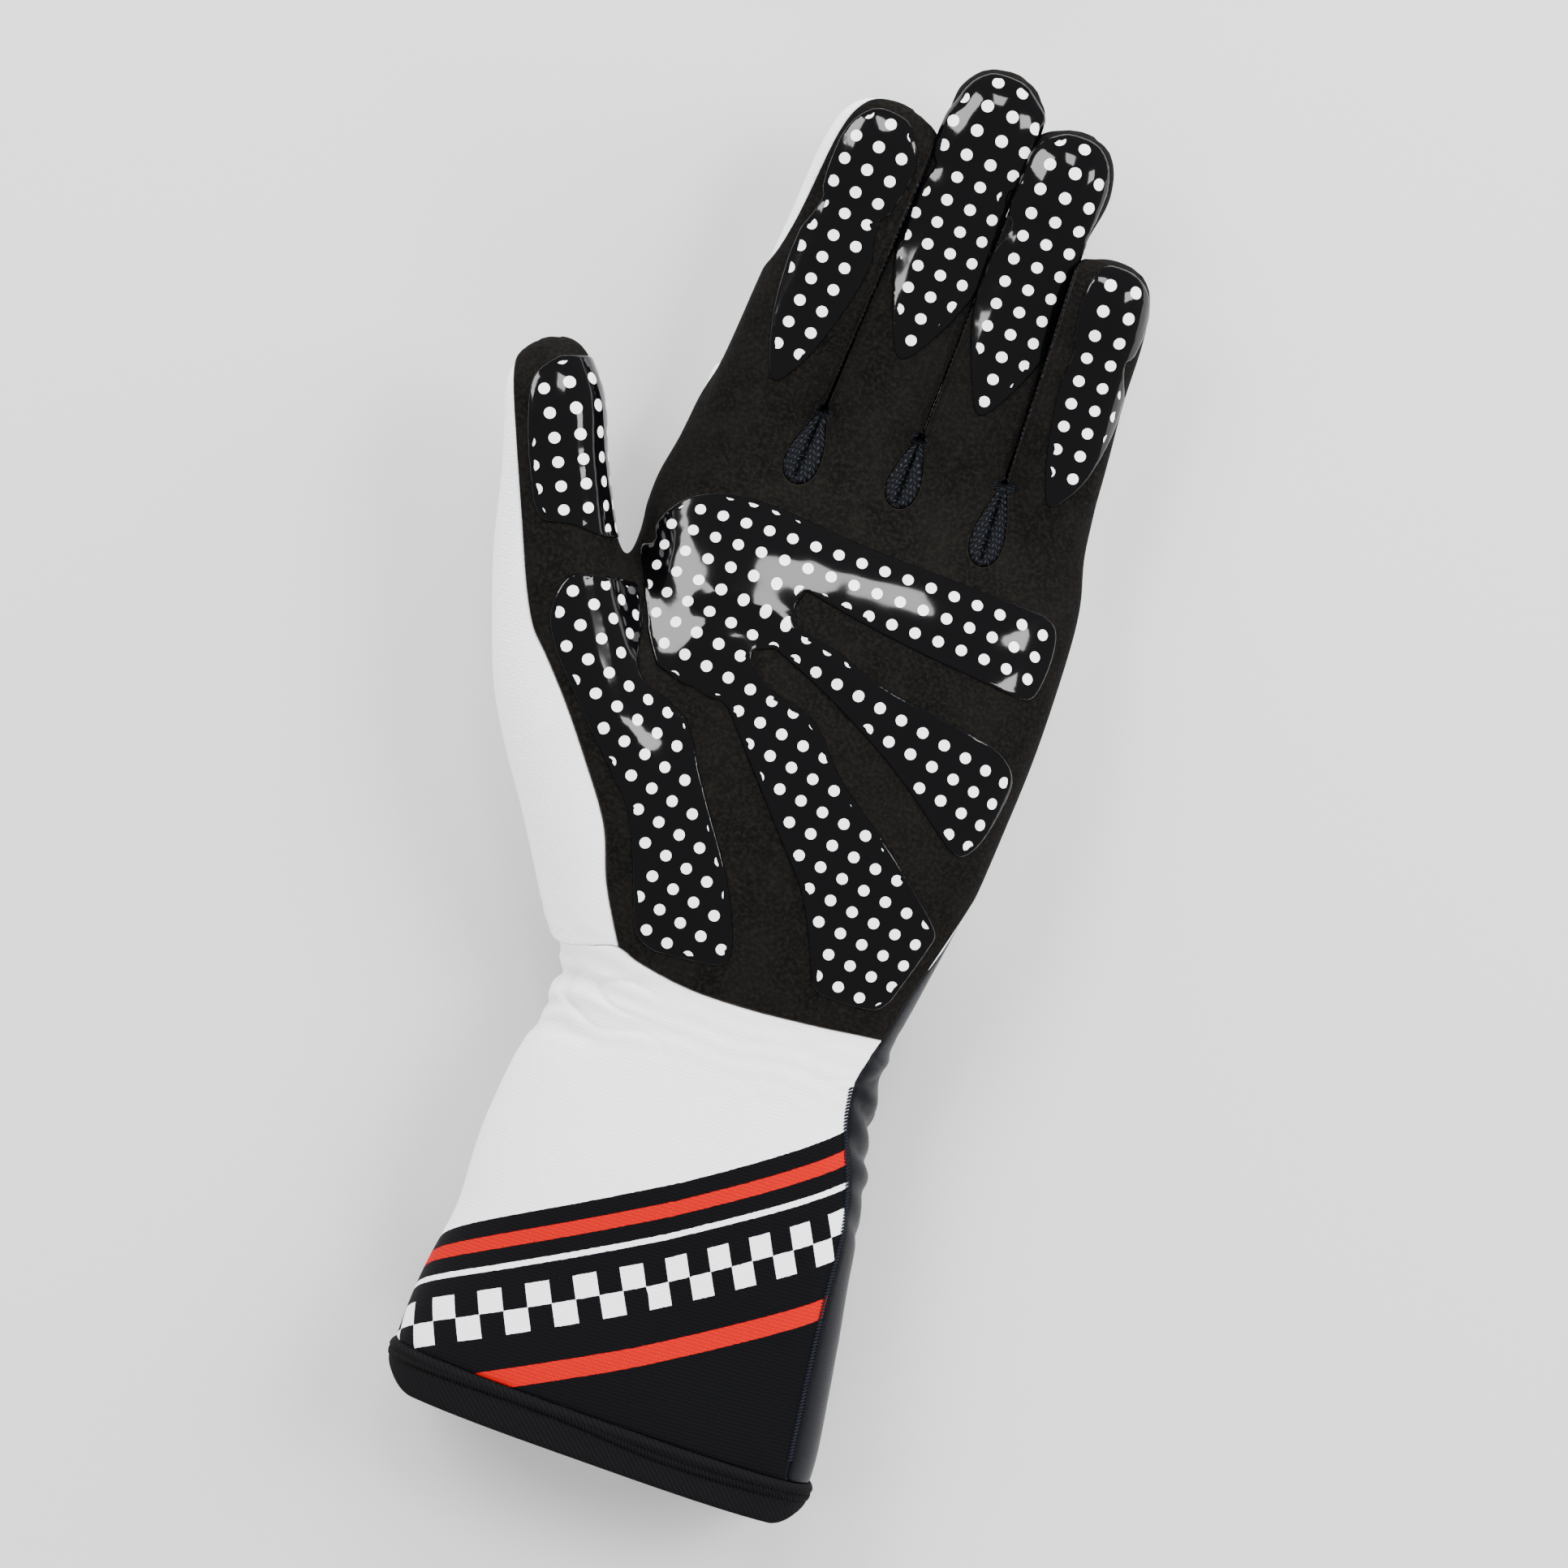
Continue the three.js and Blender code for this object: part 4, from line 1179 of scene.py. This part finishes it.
# The print: bands along a chevron whose point is on the thumb side
cuffPrint = {
    "pointAround": -63.0,
    "pointAlong": 30.0,
    "slope": 0.5,
    "redStripe": (-6.6, -3.6),
    "whiteLine": (-11.2, -10.0),
    "chequers": (-25.0, -15.0),
    "square": 5.0,
    "redBand": (-36.0, -32.0),
    "grain": 0.9,
    "ragged": 0.3,
}


def printedClothMaterial():
    # the same knit with dye printed on it: each ink is painted lighter on the loops and darker between
    # them as painted shade, so the black is finely speckled
    finish = {"Roughness": 0.85, "Specular_IOR_Level": 0.15, "Sheen_Weight": 0.01}
    material, tree, skin = newMaterial("printed_polyester_knit", **finish)
    loops = knitLoops(tree, clothKnit["column"] * mm, clothKnit["course"] * mm)
    place = add(tree, "ShaderNodeUVMap", uv_map="cloth")
    point = (cuffPrint["pointAround"] * mm, cuffPrint["pointAlong"] * mm, 0.0)
    place = add(tree, "ShaderNodeVectorMath", (place, point), operation="SUBTRACT")
    place = add(tree, "ShaderNodeVectorMath", (place, (1 / mm, 1 / mm, 0.0)), operation="MULTIPLY")
    parts = add(tree, "ShaderNodeSeparateXYZ", (place,)).node
    around = add(tree, "ShaderNodeMath", (parts.outputs[0],), operation="ABSOLUTE")
    slant = 1 / math.hypot(1, cuffPrint["slope"])
    tilt = cuffPrint["slope"] * slant
    above = add(tree, "ShaderNodeMath", (parts.outputs[1], slant), operation="MULTIPLY")
    above = add(tree, "ShaderNodeMath", (around, -tilt, above), operation="MULTIPLY_ADD")
    rough = speckle(tree, cuffPrint["grain"] * mm)
    above = add(tree, "ShaderNodeMath", (rough, cuffPrint["ragged"], above), operation="MULTIPLY_ADD")
    beside = add(tree, "ShaderNodeMath", (around, slant), operation="MULTIPLY")
    beside = add(tree, "ShaderNodeMath", (parts.outputs[1], tilt, beside), operation="MULTIPLY_ADD")

    def within(band):
        half = (band[1] - band[0]) / 2
        return add(tree, "ShaderNodeMath", (above, band[0] + half, half), operation="COMPARE")

    cells = add(tree, "ShaderNodeCombineXYZ", (above, beside, cuffPrint["square"] / 2))
    chequer = add(tree, "ShaderNodeTexChecker", {"Vector": cells, "Scale": 1 / cuffPrint["square"]}, "Fac")
    squares = add(tree, "ShaderNodeMath", (chequer, within(cuffPrint["chequers"])), operation="MULTIPLY")
    ground = add(tree, "ShaderNodeMath", (above, 0.0), operation="GREATER_THAN")
    inner = add(tree, "ShaderNodeAttribute", out="Fac", attribute_name="inner")
    reverse = add(tree, "ShaderNodeMath", (inner, 0.5), operation="GREATER_THAN")
    # each ink is painted darker between the loops than on them: painted shade in the valleys
    inksWithLoopShade = (("030305", "0a0a0d"), ("980000", "b60400"), ("e4e4e9", "f3f3f6"))
    colour, red, white = (
        add(tree, "ShaderNodeMix", {0: loops, 6: linear(deep), 7: linear(crest)}, 2, data_type="RGBA")
        for deep, crest in inksWithLoopShade
    )
    layers = (
        (within(cuffPrint["redStripe"]), red),
        (within(cuffPrint["redBand"]), red),
        (within(cuffPrint["whiteLine"]), white),
        (squares, white),
        (ground, white),
        (reverse, linear("c9c8cd")),
    )
    for where, over in layers:
        colour = add(tree, "ShaderNodeMix", {0: where, 6: colour, 7: over}, 2, data_type="RGBA")
    finishSkin(tree, skin, colour, loops, clothKnit["depth"] * mm)
    return material


# Real stretch satin has about 30 threads to the centimetre; it is drawn coarser so that it shows
satinWeave = {"column": 0.8, "course": 0.5, "lean": 0.4, "depth": 0.03}


def satinMaterial():
    # nylon and elastane satin: navy black and smooth, with a soft shine along its folds
    material, tree, skin = newMaterial("stretch_satin", Roughness=0.42, Specular_IOR_Level=0.22)
    cords = knitLoops(tree, satinWeave["column"] * mm, satinWeave["course"] * mm, satinWeave["lean"])
    # painted highlight: the crests of the cords are painted lighter than the hollows between them
    shades = {0: cords, 6: linear("06070a"), 7: linear("0e0f15")}
    colour = add(tree, "ShaderNodeMix", shades, 2, data_type="RGBA")
    finishSkin(tree, skin, colour, cords, satinWeave["depth"] * mm)
    return material


# Real twill tape has a rib each 0.6 mm or so; it is drawn coarser so that it shows
twillWeave = {"rib": 1.2, "fibre": 0.5, "depth": 0.08, "wander": 0.6}


def twillMaterial():
    # cotton twill dyed black: fine slanted ribs and a dull surface
    material, tree, skin = newMaterial("black_cotton_twill", Roughness=0.95, Specular_IOR_Level=0.15)
    place = add(tree, "ShaderNodeUVMap", uv_map="cloth")
    scale = 0.63 / (twillWeave["rib"] * mm)  # the wave texture has a band for each 0.63 at a scale of 1
    slanted = {"Vector": place, "Scale": scale, "Distortion": twillWeave["wander"], "Detail Scale": 2.0}
    ribs = add(tree, "ShaderNodeTexWave", slanted, "Fac", bands_direction="DIAGONAL")
    fibre = speckle(tree, twillWeave["fibre"] * mm)
    ribs = add(tree, "ShaderNodeMath", (ribs, fibre), operation="MULTIPLY")
    # painted shade in the grooves between the ribs and lighter rib crests, mixed with random fibre speckle
    shades = {0: ribs, 6: linear("080809"), 7: linear("121214")}
    colour = add(tree, "ShaderNodeMix", shades, 2, data_type="RGBA")
    finishSkin(tree, skin, colour, ribs, twillWeave["depth"] * mm)
    return material


ribbedKnit = {"column": 1.7, "course": 1.25, "lean": 1.4, "depth": 0.55}


def ribbedKnitMaterial():
    # coarse nylon knit: blue-black, with the tops of its loops catching the light
    material, tree, skin = newMaterial("ribbed_nylon_knit", Roughness=0.75, Specular_IOR_Level=0.25)
    loops = knitLoops(tree, ribbedKnit["column"] * mm, ribbedKnit["course"] * mm, ribbedKnit["lean"])
    shine = add(tree, "ShaderNodeMapRange", (loops, 0.3, 0.95))
    shades = {0: shine, 6: linear("040507"), 7: linear("23262f")}
    colour = add(tree, "ShaderNodeMix", shades, 2, data_type="RGBA")
    finishSkin(tree, skin, colour, loops, ribbedKnit["depth"] * mm)
    return material


dots = {"pitch": 5.1, "diameter": 2.35, "margin": 1.15}
siliconeSkin = {"ripple": 9.0, "depth": 0.06}


def siliconeMaterial():
    # silicone rubber screen-printed in two layers: wet-looking black with flush white dots, which stop
    # short of each patch's edge
    material, tree, skin = newMaterial("printed_silicone", Roughness=0.07, IOR=1.43)
    place = add(tree, "ShaderNodeUVMap", uv_map="cloth")
    cell = (1 / dots["pitch"] / mm, 1 / dots["pitch"] / mm, 0.0)
    place = add(tree, "ShaderNodeVectorMath", (place, cell, (0.5, 0.5, 0.5)), operation="MULTIPLY_ADD")
    place = add(tree, "ShaderNodeVectorMath", (place,), operation="FRACTION")
    away = add(tree, "ShaderNodeVectorMath", (place, (0.5, 0.5, 0.5)), "Value", operation="DISTANCE")
    dot = add(tree, "ShaderNodeMath", (away, dots["diameter"] / dots["pitch"] / 2), operation="LESS_THAN")
    rim = add(tree, "ShaderNodeAttribute", out="Fac", attribute_name="rim")
    within = add(tree, "ShaderNodeMath", (rim, dots["margin"]), operation="GREATER_THAN")
    dot = add(tree, "ShaderNodeMath", (dot, within), operation="MULTIPLY")
    shades = {0: dot, 6: linear("040405"), 7: linear("f3f3f5")}
    colour = add(tree, "ShaderNodeMix", shades, 2, data_type="RGBA")
    ripple = speckle(tree, siliconeSkin["ripple"] * mm, 0.0)
    finishSkin(tree, skin, colour, ripple, siliconeSkin["depth"] * mm)
    return material


threadStrand = 0.4


def threadMaterial(name, dark, light):
    # twisted polyester thread: round and dull, with random speckles painted lighter as painted highlight
    # where a strand comes to the top
    material, tree, skin = newMaterial(name, Roughness=0.8, Specular_IOR_Level=0.2)
    strands = speckle(tree, threadStrand * mm)
    shades = {0: strands, 6: linear(dark), 7: linear(light)}
    colour = add(tree, "ShaderNodeMix", shades, 2, data_type="RGBA")
    tree.links.new(colour, skin.inputs["Base Color"])
    return material


suede = suedeMaterial()
whiteCloth = whiteClothMaterial()
printedCloth = printedClothMaterial()
satin = satinMaterial()
twill = twillMaterial()
stripKnit = ribbedKnitMaterial()
silicone = siliconeMaterial()
blackThread = threadMaterial("black_polyester_thread", "020203", "0b0b0d")
blueThread = threadMaterial("blue_black_polyester_thread", "08090c", "181b25")
print("materials made")

# The sewn panels; each edge rolls down to its seam
seam = {"gap": 0.08, "rings": (0.1, 0.3, 0.6, 1.0)}
suedePalm = {"lift": 0.35, "roll": 0.45, "rollWidth": 0.8, "wall": 1.2}
clothBack = {"lift": 0.0, "roll": 0.45, "rollWidth": 1.0, "wall": 1.0}
printedCuff = {"lift": 0.0, "roll": 0.45, "rollWidth": 1.0, "wall": 1.0}
makePanel("palm_panel", palmAt, suedePalm, suede, "suede", roundHand)
makePanel("back_panel", backAt, clothBack, whiteCloth, "white_cloth", roundHand)
makePanel("cuff_panel", cuffAt, printedCuff, printedCloth, "printed_cloth", roundArm)

satinGusset = {"lift": -0.15, "roll": 0.4, "rollWidth": 1.0, "wall": 0.9}
gussetFolds = (
    # share along the cuff, slant, depth: where the satin is drawn in
    (0.93, -0.2, 0.6),
    (0.83, 0.5, 0.9),
    (0.76, 0.35, 0.8),
    (0.69, 0.2, 0.6),
    (0.6, 0.5, 0.45),
)
gussetMiddle = 16.0  # the height at which the folds have their share along the cuff


def gussetShape(p):
    _, y, z = p.T
    height = np.zeros(len(p))
    for along, slant, depth in gussetFolds:
        line = y - along * cuffLength - slant * (z - gussetMiddle)
        crease = np.exp(-((line / 1.9) ** 2))
        swell = np.exp(-(((line - 3.2) / 2.2) ** 2))
        height = height - depth * crease + 0.6 * depth * swell
    return height * np.clip(gussetAt(p) / 3, 0, 1)


def roundFromBack(p):
    return roundArm(p, -math.pi)


makePanel("side_gusset", gussetAt, satinGusset, satin, "satin", roundFromBack, gussetShape)

twillHem = {"lift": 0.55, "roll": 0.7, "rollWidth": 1.3, "wall": 1.9, "ridge": 0.5, "seamDown": 2.6}


def hemShape(p):
    # the band's seam allowance lifts it above the line where it is sewn down
    down = hemTop(p[:, 0], p[:, 1])
    ridge = np.exp(-((down - twillHem["seamDown"] / 2) ** 2))
    groove = 0.8 * np.exp(-(((down - twillHem["seamDown"]) / 0.5) ** 2))
    return twillHem["ridge"] * (ridge - groove)


makePanel("cuff_hem", hemAt, twillHem, twill, "twill", roundArm, hemShape)

knitStrip = {"lift": -0.02, "roll": 0.3, "rollWidth": 0.6, "wall": 0.9, "puff": 1.4, "valley": 1.5}


def makeFourchette(crotch):
    def fieldAt(p):
        return fourchetteAt(p, crotch)

    def besideFingers(p):
        across, along = besideSlit(crotch, p[:, 0], p[:, 1])
        return np.stack([across + np.sign(across) * (25 - p[:, 2]), along], axis=1)

    def teardropShape(p):
        across, along = besideSlit(crotch, p[:, 0], p[:, 1])
        inside = np.clip(insideOutline(crotch["teardrop"], p[:, 0], p[:, 1]) / 2.0, 0, 1)
        shown = np.clip(palmSide(p), 0, 1) * np.clip((2 - along) / 4, 0, 1)
        puff = knitStrip["puff"] * np.sqrt(1 - (1 - inside) ** 2)
        return shown * (puff - knitStrip["valley"] * inside * np.exp(-((across / 0.55) ** 2)))

    makePanel(crotch["name"], fieldAt, knitStrip, stripKnit, "ribbed_knit", besideFingers, teardropShape)


for crotch in crotches:
    makeFourchette(crotch)

# On each patch the rows of dots start at one dot and turn clockwise from the plan's y
lattices = {
    "index_grip": ((-31.1, 230.5), 11.0),
    "middle_grip": ((-3.4, 243.7), 7.3),
    "ring_grip": ((14.9, 235.7), 5.7),
    "little_grip": ((37.1, 220.7), 1.0),
    "thenar_grip": ((-35.0, 135.0), 15.0),
    "thumb_grip": ((-62.3, 188.3), -29.0),
    "palm_grip": ((20.3, 194.4), 2.0),
}
# Below its first gap the palm's patch has swung round, as the folds there take up its length
palmSwing = {
    "turn": 11.0,
    "pivot": (-26.0, 182.0),
    "slope": 0.13,
    "middle": 1.5,
    "reach": 3.0,
    "spread": 0.45,
    "spreadFrom": 18.0,
}


def unwrapped(mesh):
    # the patch as it was before it was bent, in units of the tool's own
    data = bpy.data.meshes.new("flat")
    data.from_pydata(mesh["points"].tolist(), [], mesh["tris"].tolist())
    data.uv_layers.new(name="flat")
    item = bpy.data.objects.new("flat", data)
    bpy.context.scene.collection.objects.link(item)
    bpy.context.view_layer.objects.active = item
    item.select_set(True)
    bpy.ops.object.mode_set(mode="EDIT")
    bpy.ops.mesh.select_all(action="SELECT")
    bpy.ops.uv.unwrap(method="CONFORMAL", margin=0)
    bpy.ops.object.mode_set(mode="OBJECT")
    corners = np.zeros(len(data.loops) * 2, np.float32)
    data.uv_layers["flat"].data.foreach_get("uv", corners)
    pointOf = np.zeros(len(data.loops), np.int32)
    data.loops.foreach_get("vertex_index", pointOf)
    flat = np.zeros((len(mesh["points"]), 2))
    flat[pointOf] = corners.reshape(-1, 2)
    bpy.data.objects.remove(item)
    bpy.data.meshes.remove(data)
    return flat


def areaOf(points, tris):
    a, b, c = (np.pad(points, ((0, 0), (0, 3 - points.shape[1])))[tris[:, k]] for k in range(3))
    return np.linalg.norm(np.cross(b - a, c - a), axis=1).sum() / 2


def laidFlat(mesh):
    # the unwrapped patch in millimetres, turned and placed as it lies in the plan
    flat = unwrapped(mesh)
    have = flat[:, 0] + 1j * flat[:, 1]
    wanted = mesh["plan"][:, 0] + 1j * mesh["plan"][:, 1]
    turn = (np.conj(have - have.mean()) * (wanted - wanted.mean())).sum()
    size = math.sqrt(areaOf(mesh["points"], mesh["tris"]) / areaOf(flat, mesh["tris"]))
    placed = (have - have.mean()) * turn / abs(turn) * size + wanted.mean()
    return np.stack([placed.real, placed.imag], axis=1)


def turned(place, angle):
    x, y = place.T
    return np.stack([x * np.cos(angle) - y * np.sin(angle), x * np.sin(angle) + y * np.cos(angle)], axis=1)


def onLattice(flat, mesh, name):
    dot, degrees = lattices[name]
    nearest = np.hypot(*(mesh["plan"][:, :2] - np.array(dot)).T).argmin()
    place = flat - flat[nearest] + mesh["plan"][nearest, :2] - np.array(dot)
    if name == "palm_grip":
        fromPivot = flat - np.array(palmSwing["pivot"])
        height = fromPivot[:, 1] + palmSwing["slope"] * fromPivot[:, 0] - palmSwing["middle"]
        beside = np.clip(palmSwing["spreadFrom"] - fromPivot[:, 0], 0, None)
        reach = palmSwing["reach"] + palmSwing["spread"] * beside
        swing = math.radians(palmSwing["turn"]) * smooth(0.5 - height / reach / 2)
        place = place + turned(fromPivot, swing) - fromPivot
    return turned(place, math.radians(degrees))


def makeGrip(name):
    def fieldAt(p):
        return gripAt(p, name)

    piece = pieceOf(form, fieldAt, 0.0, (*gripShape["rings"], dots["margin"]))
    # poured silicone bridges what is rough in the suede under it
    piece = eased(piece, lambda p: 1.5 * fieldAt(p), gripShape["bridging"])
    rim = fieldAt(piece["plan"])
    near = 1 - np.clip(rim / gripShape["edge"], 0, 1)
    wavy = gripShape["waviness"] * softNoise(piece["plan"], gripShape["waveSize"], 4)
    top = suedePalm["lift"] + gripShape["height"] * np.sqrt(1 - near**2) + wavy * (1 - near)
    uv = onLattice(laidFlat(piece), piece, name)
    solid = thickened(piece, top, gripShape["sunk"])
    item = makeObject(name + "_look", solid, silicone, {"rim": np.tile(rim, 2)}, np.tile(uv, (2, 1)))
    mount(item, "silicone", name)


for name in grips:
    makeGrip(name)


# Stitches
def stitchTree(material):
    # beads of thread along a line, each turned across it by a slant
    tree = bpy.data.node_groups.new("stitches", "GeometryNodeTree")
    tree.interface.new_socket("Geometry", in_out="INPUT", socket_type="NodeSocketGeometry")
    for name in ("Pitch", "Length", "Width", "Height", "Slant"):
        tree.interface.new_socket(name, in_out="INPUT", socket_type="NodeSocketFloat")
    tree.interface.new_socket("Geometry", in_out="OUTPUT", socket_type="NodeSocketGeometry")
    given = tree.nodes.new("NodeGroupInput")
    sizes = given.outputs
    line = add(tree, "GeometryNodeMeshToCurve", {"Mesh": sizes["Geometry"]})
    run = {"Curve": line, "Length": sizes["Pitch"]}
    line = add(tree, "GeometryNodeResampleCurve", run, mode="LENGTH")
    named = {"Name": "up"}
    up = add(tree, "GeometryNodeInputNamedAttribute", named, "Attribute", data_type="FLOAT_VECTOR")
    tangent = add(tree, "GeometryNodeInputTangent")
    turn = add(tree, "FunctionNodeAlignRotationToVector", {"Vector": up}, axis="Z")
    towards = {"Rotation": turn, "Vector": tangent}
    turn = add(tree, "FunctionNodeAlignRotationToVector", towards, axis="X", pivot_axis="Z")
    aslant = {"Axis": (0, 0, 1), "Angle": sizes["Slant"]}
    slant = add(tree, "FunctionNodeAxisAngleToRotation", aslant)
    both = {"Rotation": turn, "Rotate By": slant}
    turn = add(tree, "FunctionNodeRotateRotation", both, rotation_space="LOCAL")
    size = add(tree, "ShaderNodeCombineXYZ", (sizes["Width"], sizes["Length"], sizes["Height"]))
    bead = add(tree, "GeometryNodeMeshUVSphere", {"Segments": 6, "Rings": 4, "Radius": 0.5})
    laid = {"Points": line, "Instance": bead, "Rotation": turn, "Scale": size}
    beads = add(tree, "GeometryNodeInstanceOnPoints", laid)
    beads = add(tree, "GeometryNodeRealizeInstances", (beads,))
    beads = add(tree, "GeometryNodeSetShadeSmooth", {"Geometry": beads})
    beads = add(tree, "GeometryNodeSetMaterial", {"Geometry": beads, "Material": material})
    tree.links.new(beads, tree.nodes.new("NodeGroupOutput").inputs[0])
    return tree


def sewn(name, lines, stitch, material, slotName):
    # lines holds runs of points and outward directions, in the plan; stitch holds sizes in millimetres
    spots, ups, edges = [], [], []
    for line in lines:
        edges += [(len(spots) + i, len(spots) + i + 1) for i in range(len(line) - 1)]
        spots += [spot for spot, _ in line]
        ups += [up for _, up in line]
    data = bpy.data.meshes.new(name)
    data.from_pydata(toFrame(np.array(spots)).tolist(), edges, [])
    data.attributes.new("up", "FLOAT_VECTOR", "POINT").data.foreach_set("vector", np.ravel(ups))
    path = bpy.data.objects.new(name, data)
    bpy.context.scene.collection.objects.link(path)
    tree = stitchTree(material)
    modifier = path.modifiers.new("stitches", "NODES")
    modifier.node_group = tree
    for socket in tree.interface.items_tree:
        if socket.in_out == "INPUT" and socket.name in stitch:
            unit = math.radians(1) if socket.name == "Slant" else mm
            modifier[socket.identifier] = unit * stitch[socket.name]
    sewnMesh = bpy.data.meshes.new_from_object(path.evaluated_get(bpy.context.evaluated_depsgraph_get()))
    bpy.data.objects.remove(path)
    item = bpy.data.objects.new(name, sewnMesh)
    bpy.context.scene.collection.objects.link(item)
    mount(item, slotName)


def laidOn(x, y, lift):
    # the spot on the palm side above a place in the plan, and the way out of the surface there
    hit, normal, _, _ = surface.ray_cast(Vector((x, y, 90)), Vector((0, 0, -1)))
    return (np.array(hit + normal * lift), np.array(normal)) if hit else None


def laidRound(y, turn, lift):
    # the spot on the outside of the arm, seen from its middle
    out = Vector((math.cos(turn), 0, math.sin(turn)))
    middle = Vector((0, y, float(bodyMiddle(np.array(y)))))
    hit, normal, _, _ = surface.ray_cast(middle + out * 90, -out)
    if not hit:
        return None
    spot = np.array(hit + normal * lift)
    spot[2] = max(spot[2], hemOverlock["Height"] / 2 + 0.1)  # clear of what the glove lies on
    return spot, np.array(normal)


slitOverlock = {"Pitch": 0.55, "Length": 1.3, "Width": 0.5, "Height": 0.45, "Slant": 8.0}
lines = []
for crotch in crotches:
    foot, along, across = slitDirections(crotch)
    runs = np.arange(-1.0, crotch["reach"] - 5, 1.5)
    for side in (-1, 1):
        offset = side * (slit["halfGap"] + slit["knit"] + 0.25)
        line = [laidOn(*(foot + along * run + across * offset), 0.15) for run in runs]
        lines.append([spot for spot in line if spot and spot[0][2] > 9])
sewn("slit_overlock_look", lines, slitOverlock, blueThread, "ribbed_knit")

hemOverlock = {"Pitch": 0.75, "Length": 2.2, "Width": 0.85, "Height": 0.7, "Slant": 32.0}
ring = []
for turn in np.linspace(0, 2 * math.pi, 181):
    x = glove["cuffWidth"] / 2 * math.cos(turn)
    y = hem["height"] - hem["rake"] * x / (glove["cuffWidth"] / 2) - twillHem["seamDown"]
    ring.append(laidRound(y, turn, twillHem["lift"] + 0.1))
sewn("hem_overlock_look", [ring], hemOverlock, blackThread, "twill")

gussetOverlock = {"Pitch": 0.7, "Length": 1.5, "Width": 0.6, "Height": 0.45, "Slant": 25.0}
line = curveThrough(
    [
        onCuff(0.12, 0.835), onCuff(0.3, 0.805), onCuff(0.45, 0.785), onCuff(0.6, 0.775),
        onCuff(0.7, 0.735), onCuff(0.77, 0.685), onCuff(0.83, 0.645), onCuff(0.9, 0.625),
    ]
)
spots = [laidOn(*stop, 0.1) for stop in line]
sewn("gusset_overlock_look", [[spot for spot in spots if spot]], gussetOverlock, blueThread, "satin")

# The camera looks straight down, turned as in the photograph
view = {
    "middle": (14.1, -3.3),
    "focal": 100.0,
    "sensor": 36.0,
    "span": 328.4,
    "palmHeight": 25.0,
    "roll": 16.5,
}


def addCamera():
    data = bpy.data.cameras.new("camera")
    data.lens = view["focal"]
    data.sensor_width = view["sensor"]
    data.clip_start = 0.01
    camera = bpy.data.objects.new("camera", data)
    distance = view["span"] * view["focal"] / view["sensor"] + view["palmHeight"]
    camera.location = (view["middle"][0] * mm, view["middle"][1] * mm, distance * mm)
    camera.rotation_euler = (0, 0, math.radians(view["roll"]))
    bpy.context.scene.collection.objects.link(camera)
    bpy.context.scene.camera = camera


def addFloor():
    bpy.ops.mesh.primitive_plane_add(size=6)
    floor = bpy.context.object
    floor.name = "floor"
    # matt studio paper: plain, pale and without shine
    material, _, _ = newMaterial("studio_paper", Base_Color=linear("c5c5c6"), Roughness=0.95)
    floor.data.materials.append(material)


softboxes = (
    # name, place in metres in the camera's own directions (right, up, above), width, height, watts
    ("key", (-0.6, 0.6, 0.85), 0.5, 0.5, 14.0),
    ("high", (0.15, 0.6, 0.95), 0.22, 0.22, 2.6),
    ("right", (0.75, 0.15, 0.8), 0.2, 0.3, 3.5),
    ("rightWall", (1.35, 0.3, 0.65), 1.0, 1.6, 62.0),
    ("leftWall", (-1.35, 0.1, 0.65), 1.0, 1.6, 16.0),
    ("farWall", (0.0, 1.4, 0.6), 1.6, 0.9, 46.0),
    ("nearWall", (0.0, -1.4, 0.6), 1.6, 0.9, 34.0),
)
studioLight = 0.3


def addLights():
    roll = math.radians(view["roll"])
    for name, (right, up, above), width, height, watts in softboxes:
        data = bpy.data.lights.new(name, "AREA")
        data.shape = "RECTANGLE"
        data.size = width
        data.size_y = height
        data.energy = watts
        lamp = bpy.data.objects.new(name, data)
        x = right * math.cos(roll) - up * math.sin(roll)
        y = right * math.sin(roll) + up * math.cos(roll)
        lamp.location = (x, y, above)
        lamp.rotation_euler = (-lamp.location).to_track_quat("-Z", "Y").to_euler()
        # the large walls only fill the shadows, and the glossy patches mirror the small boxes
        lamp.visible_glossy = not name.endswith("Wall")
        bpy.context.scene.collection.objects.link(lamp)
    world = bpy.data.worlds.new("studio")
    world.use_nodes = True
    world.node_tree.nodes["Background"].inputs["Color"].default_value = (1, 1, 1, 1)
    world.node_tree.nodes["Background"].inputs["Strength"].default_value = studioLight
    bpy.context.scene.world = world


addCamera()
addFloor()
addLights()
print("camera, floor and lights placed")
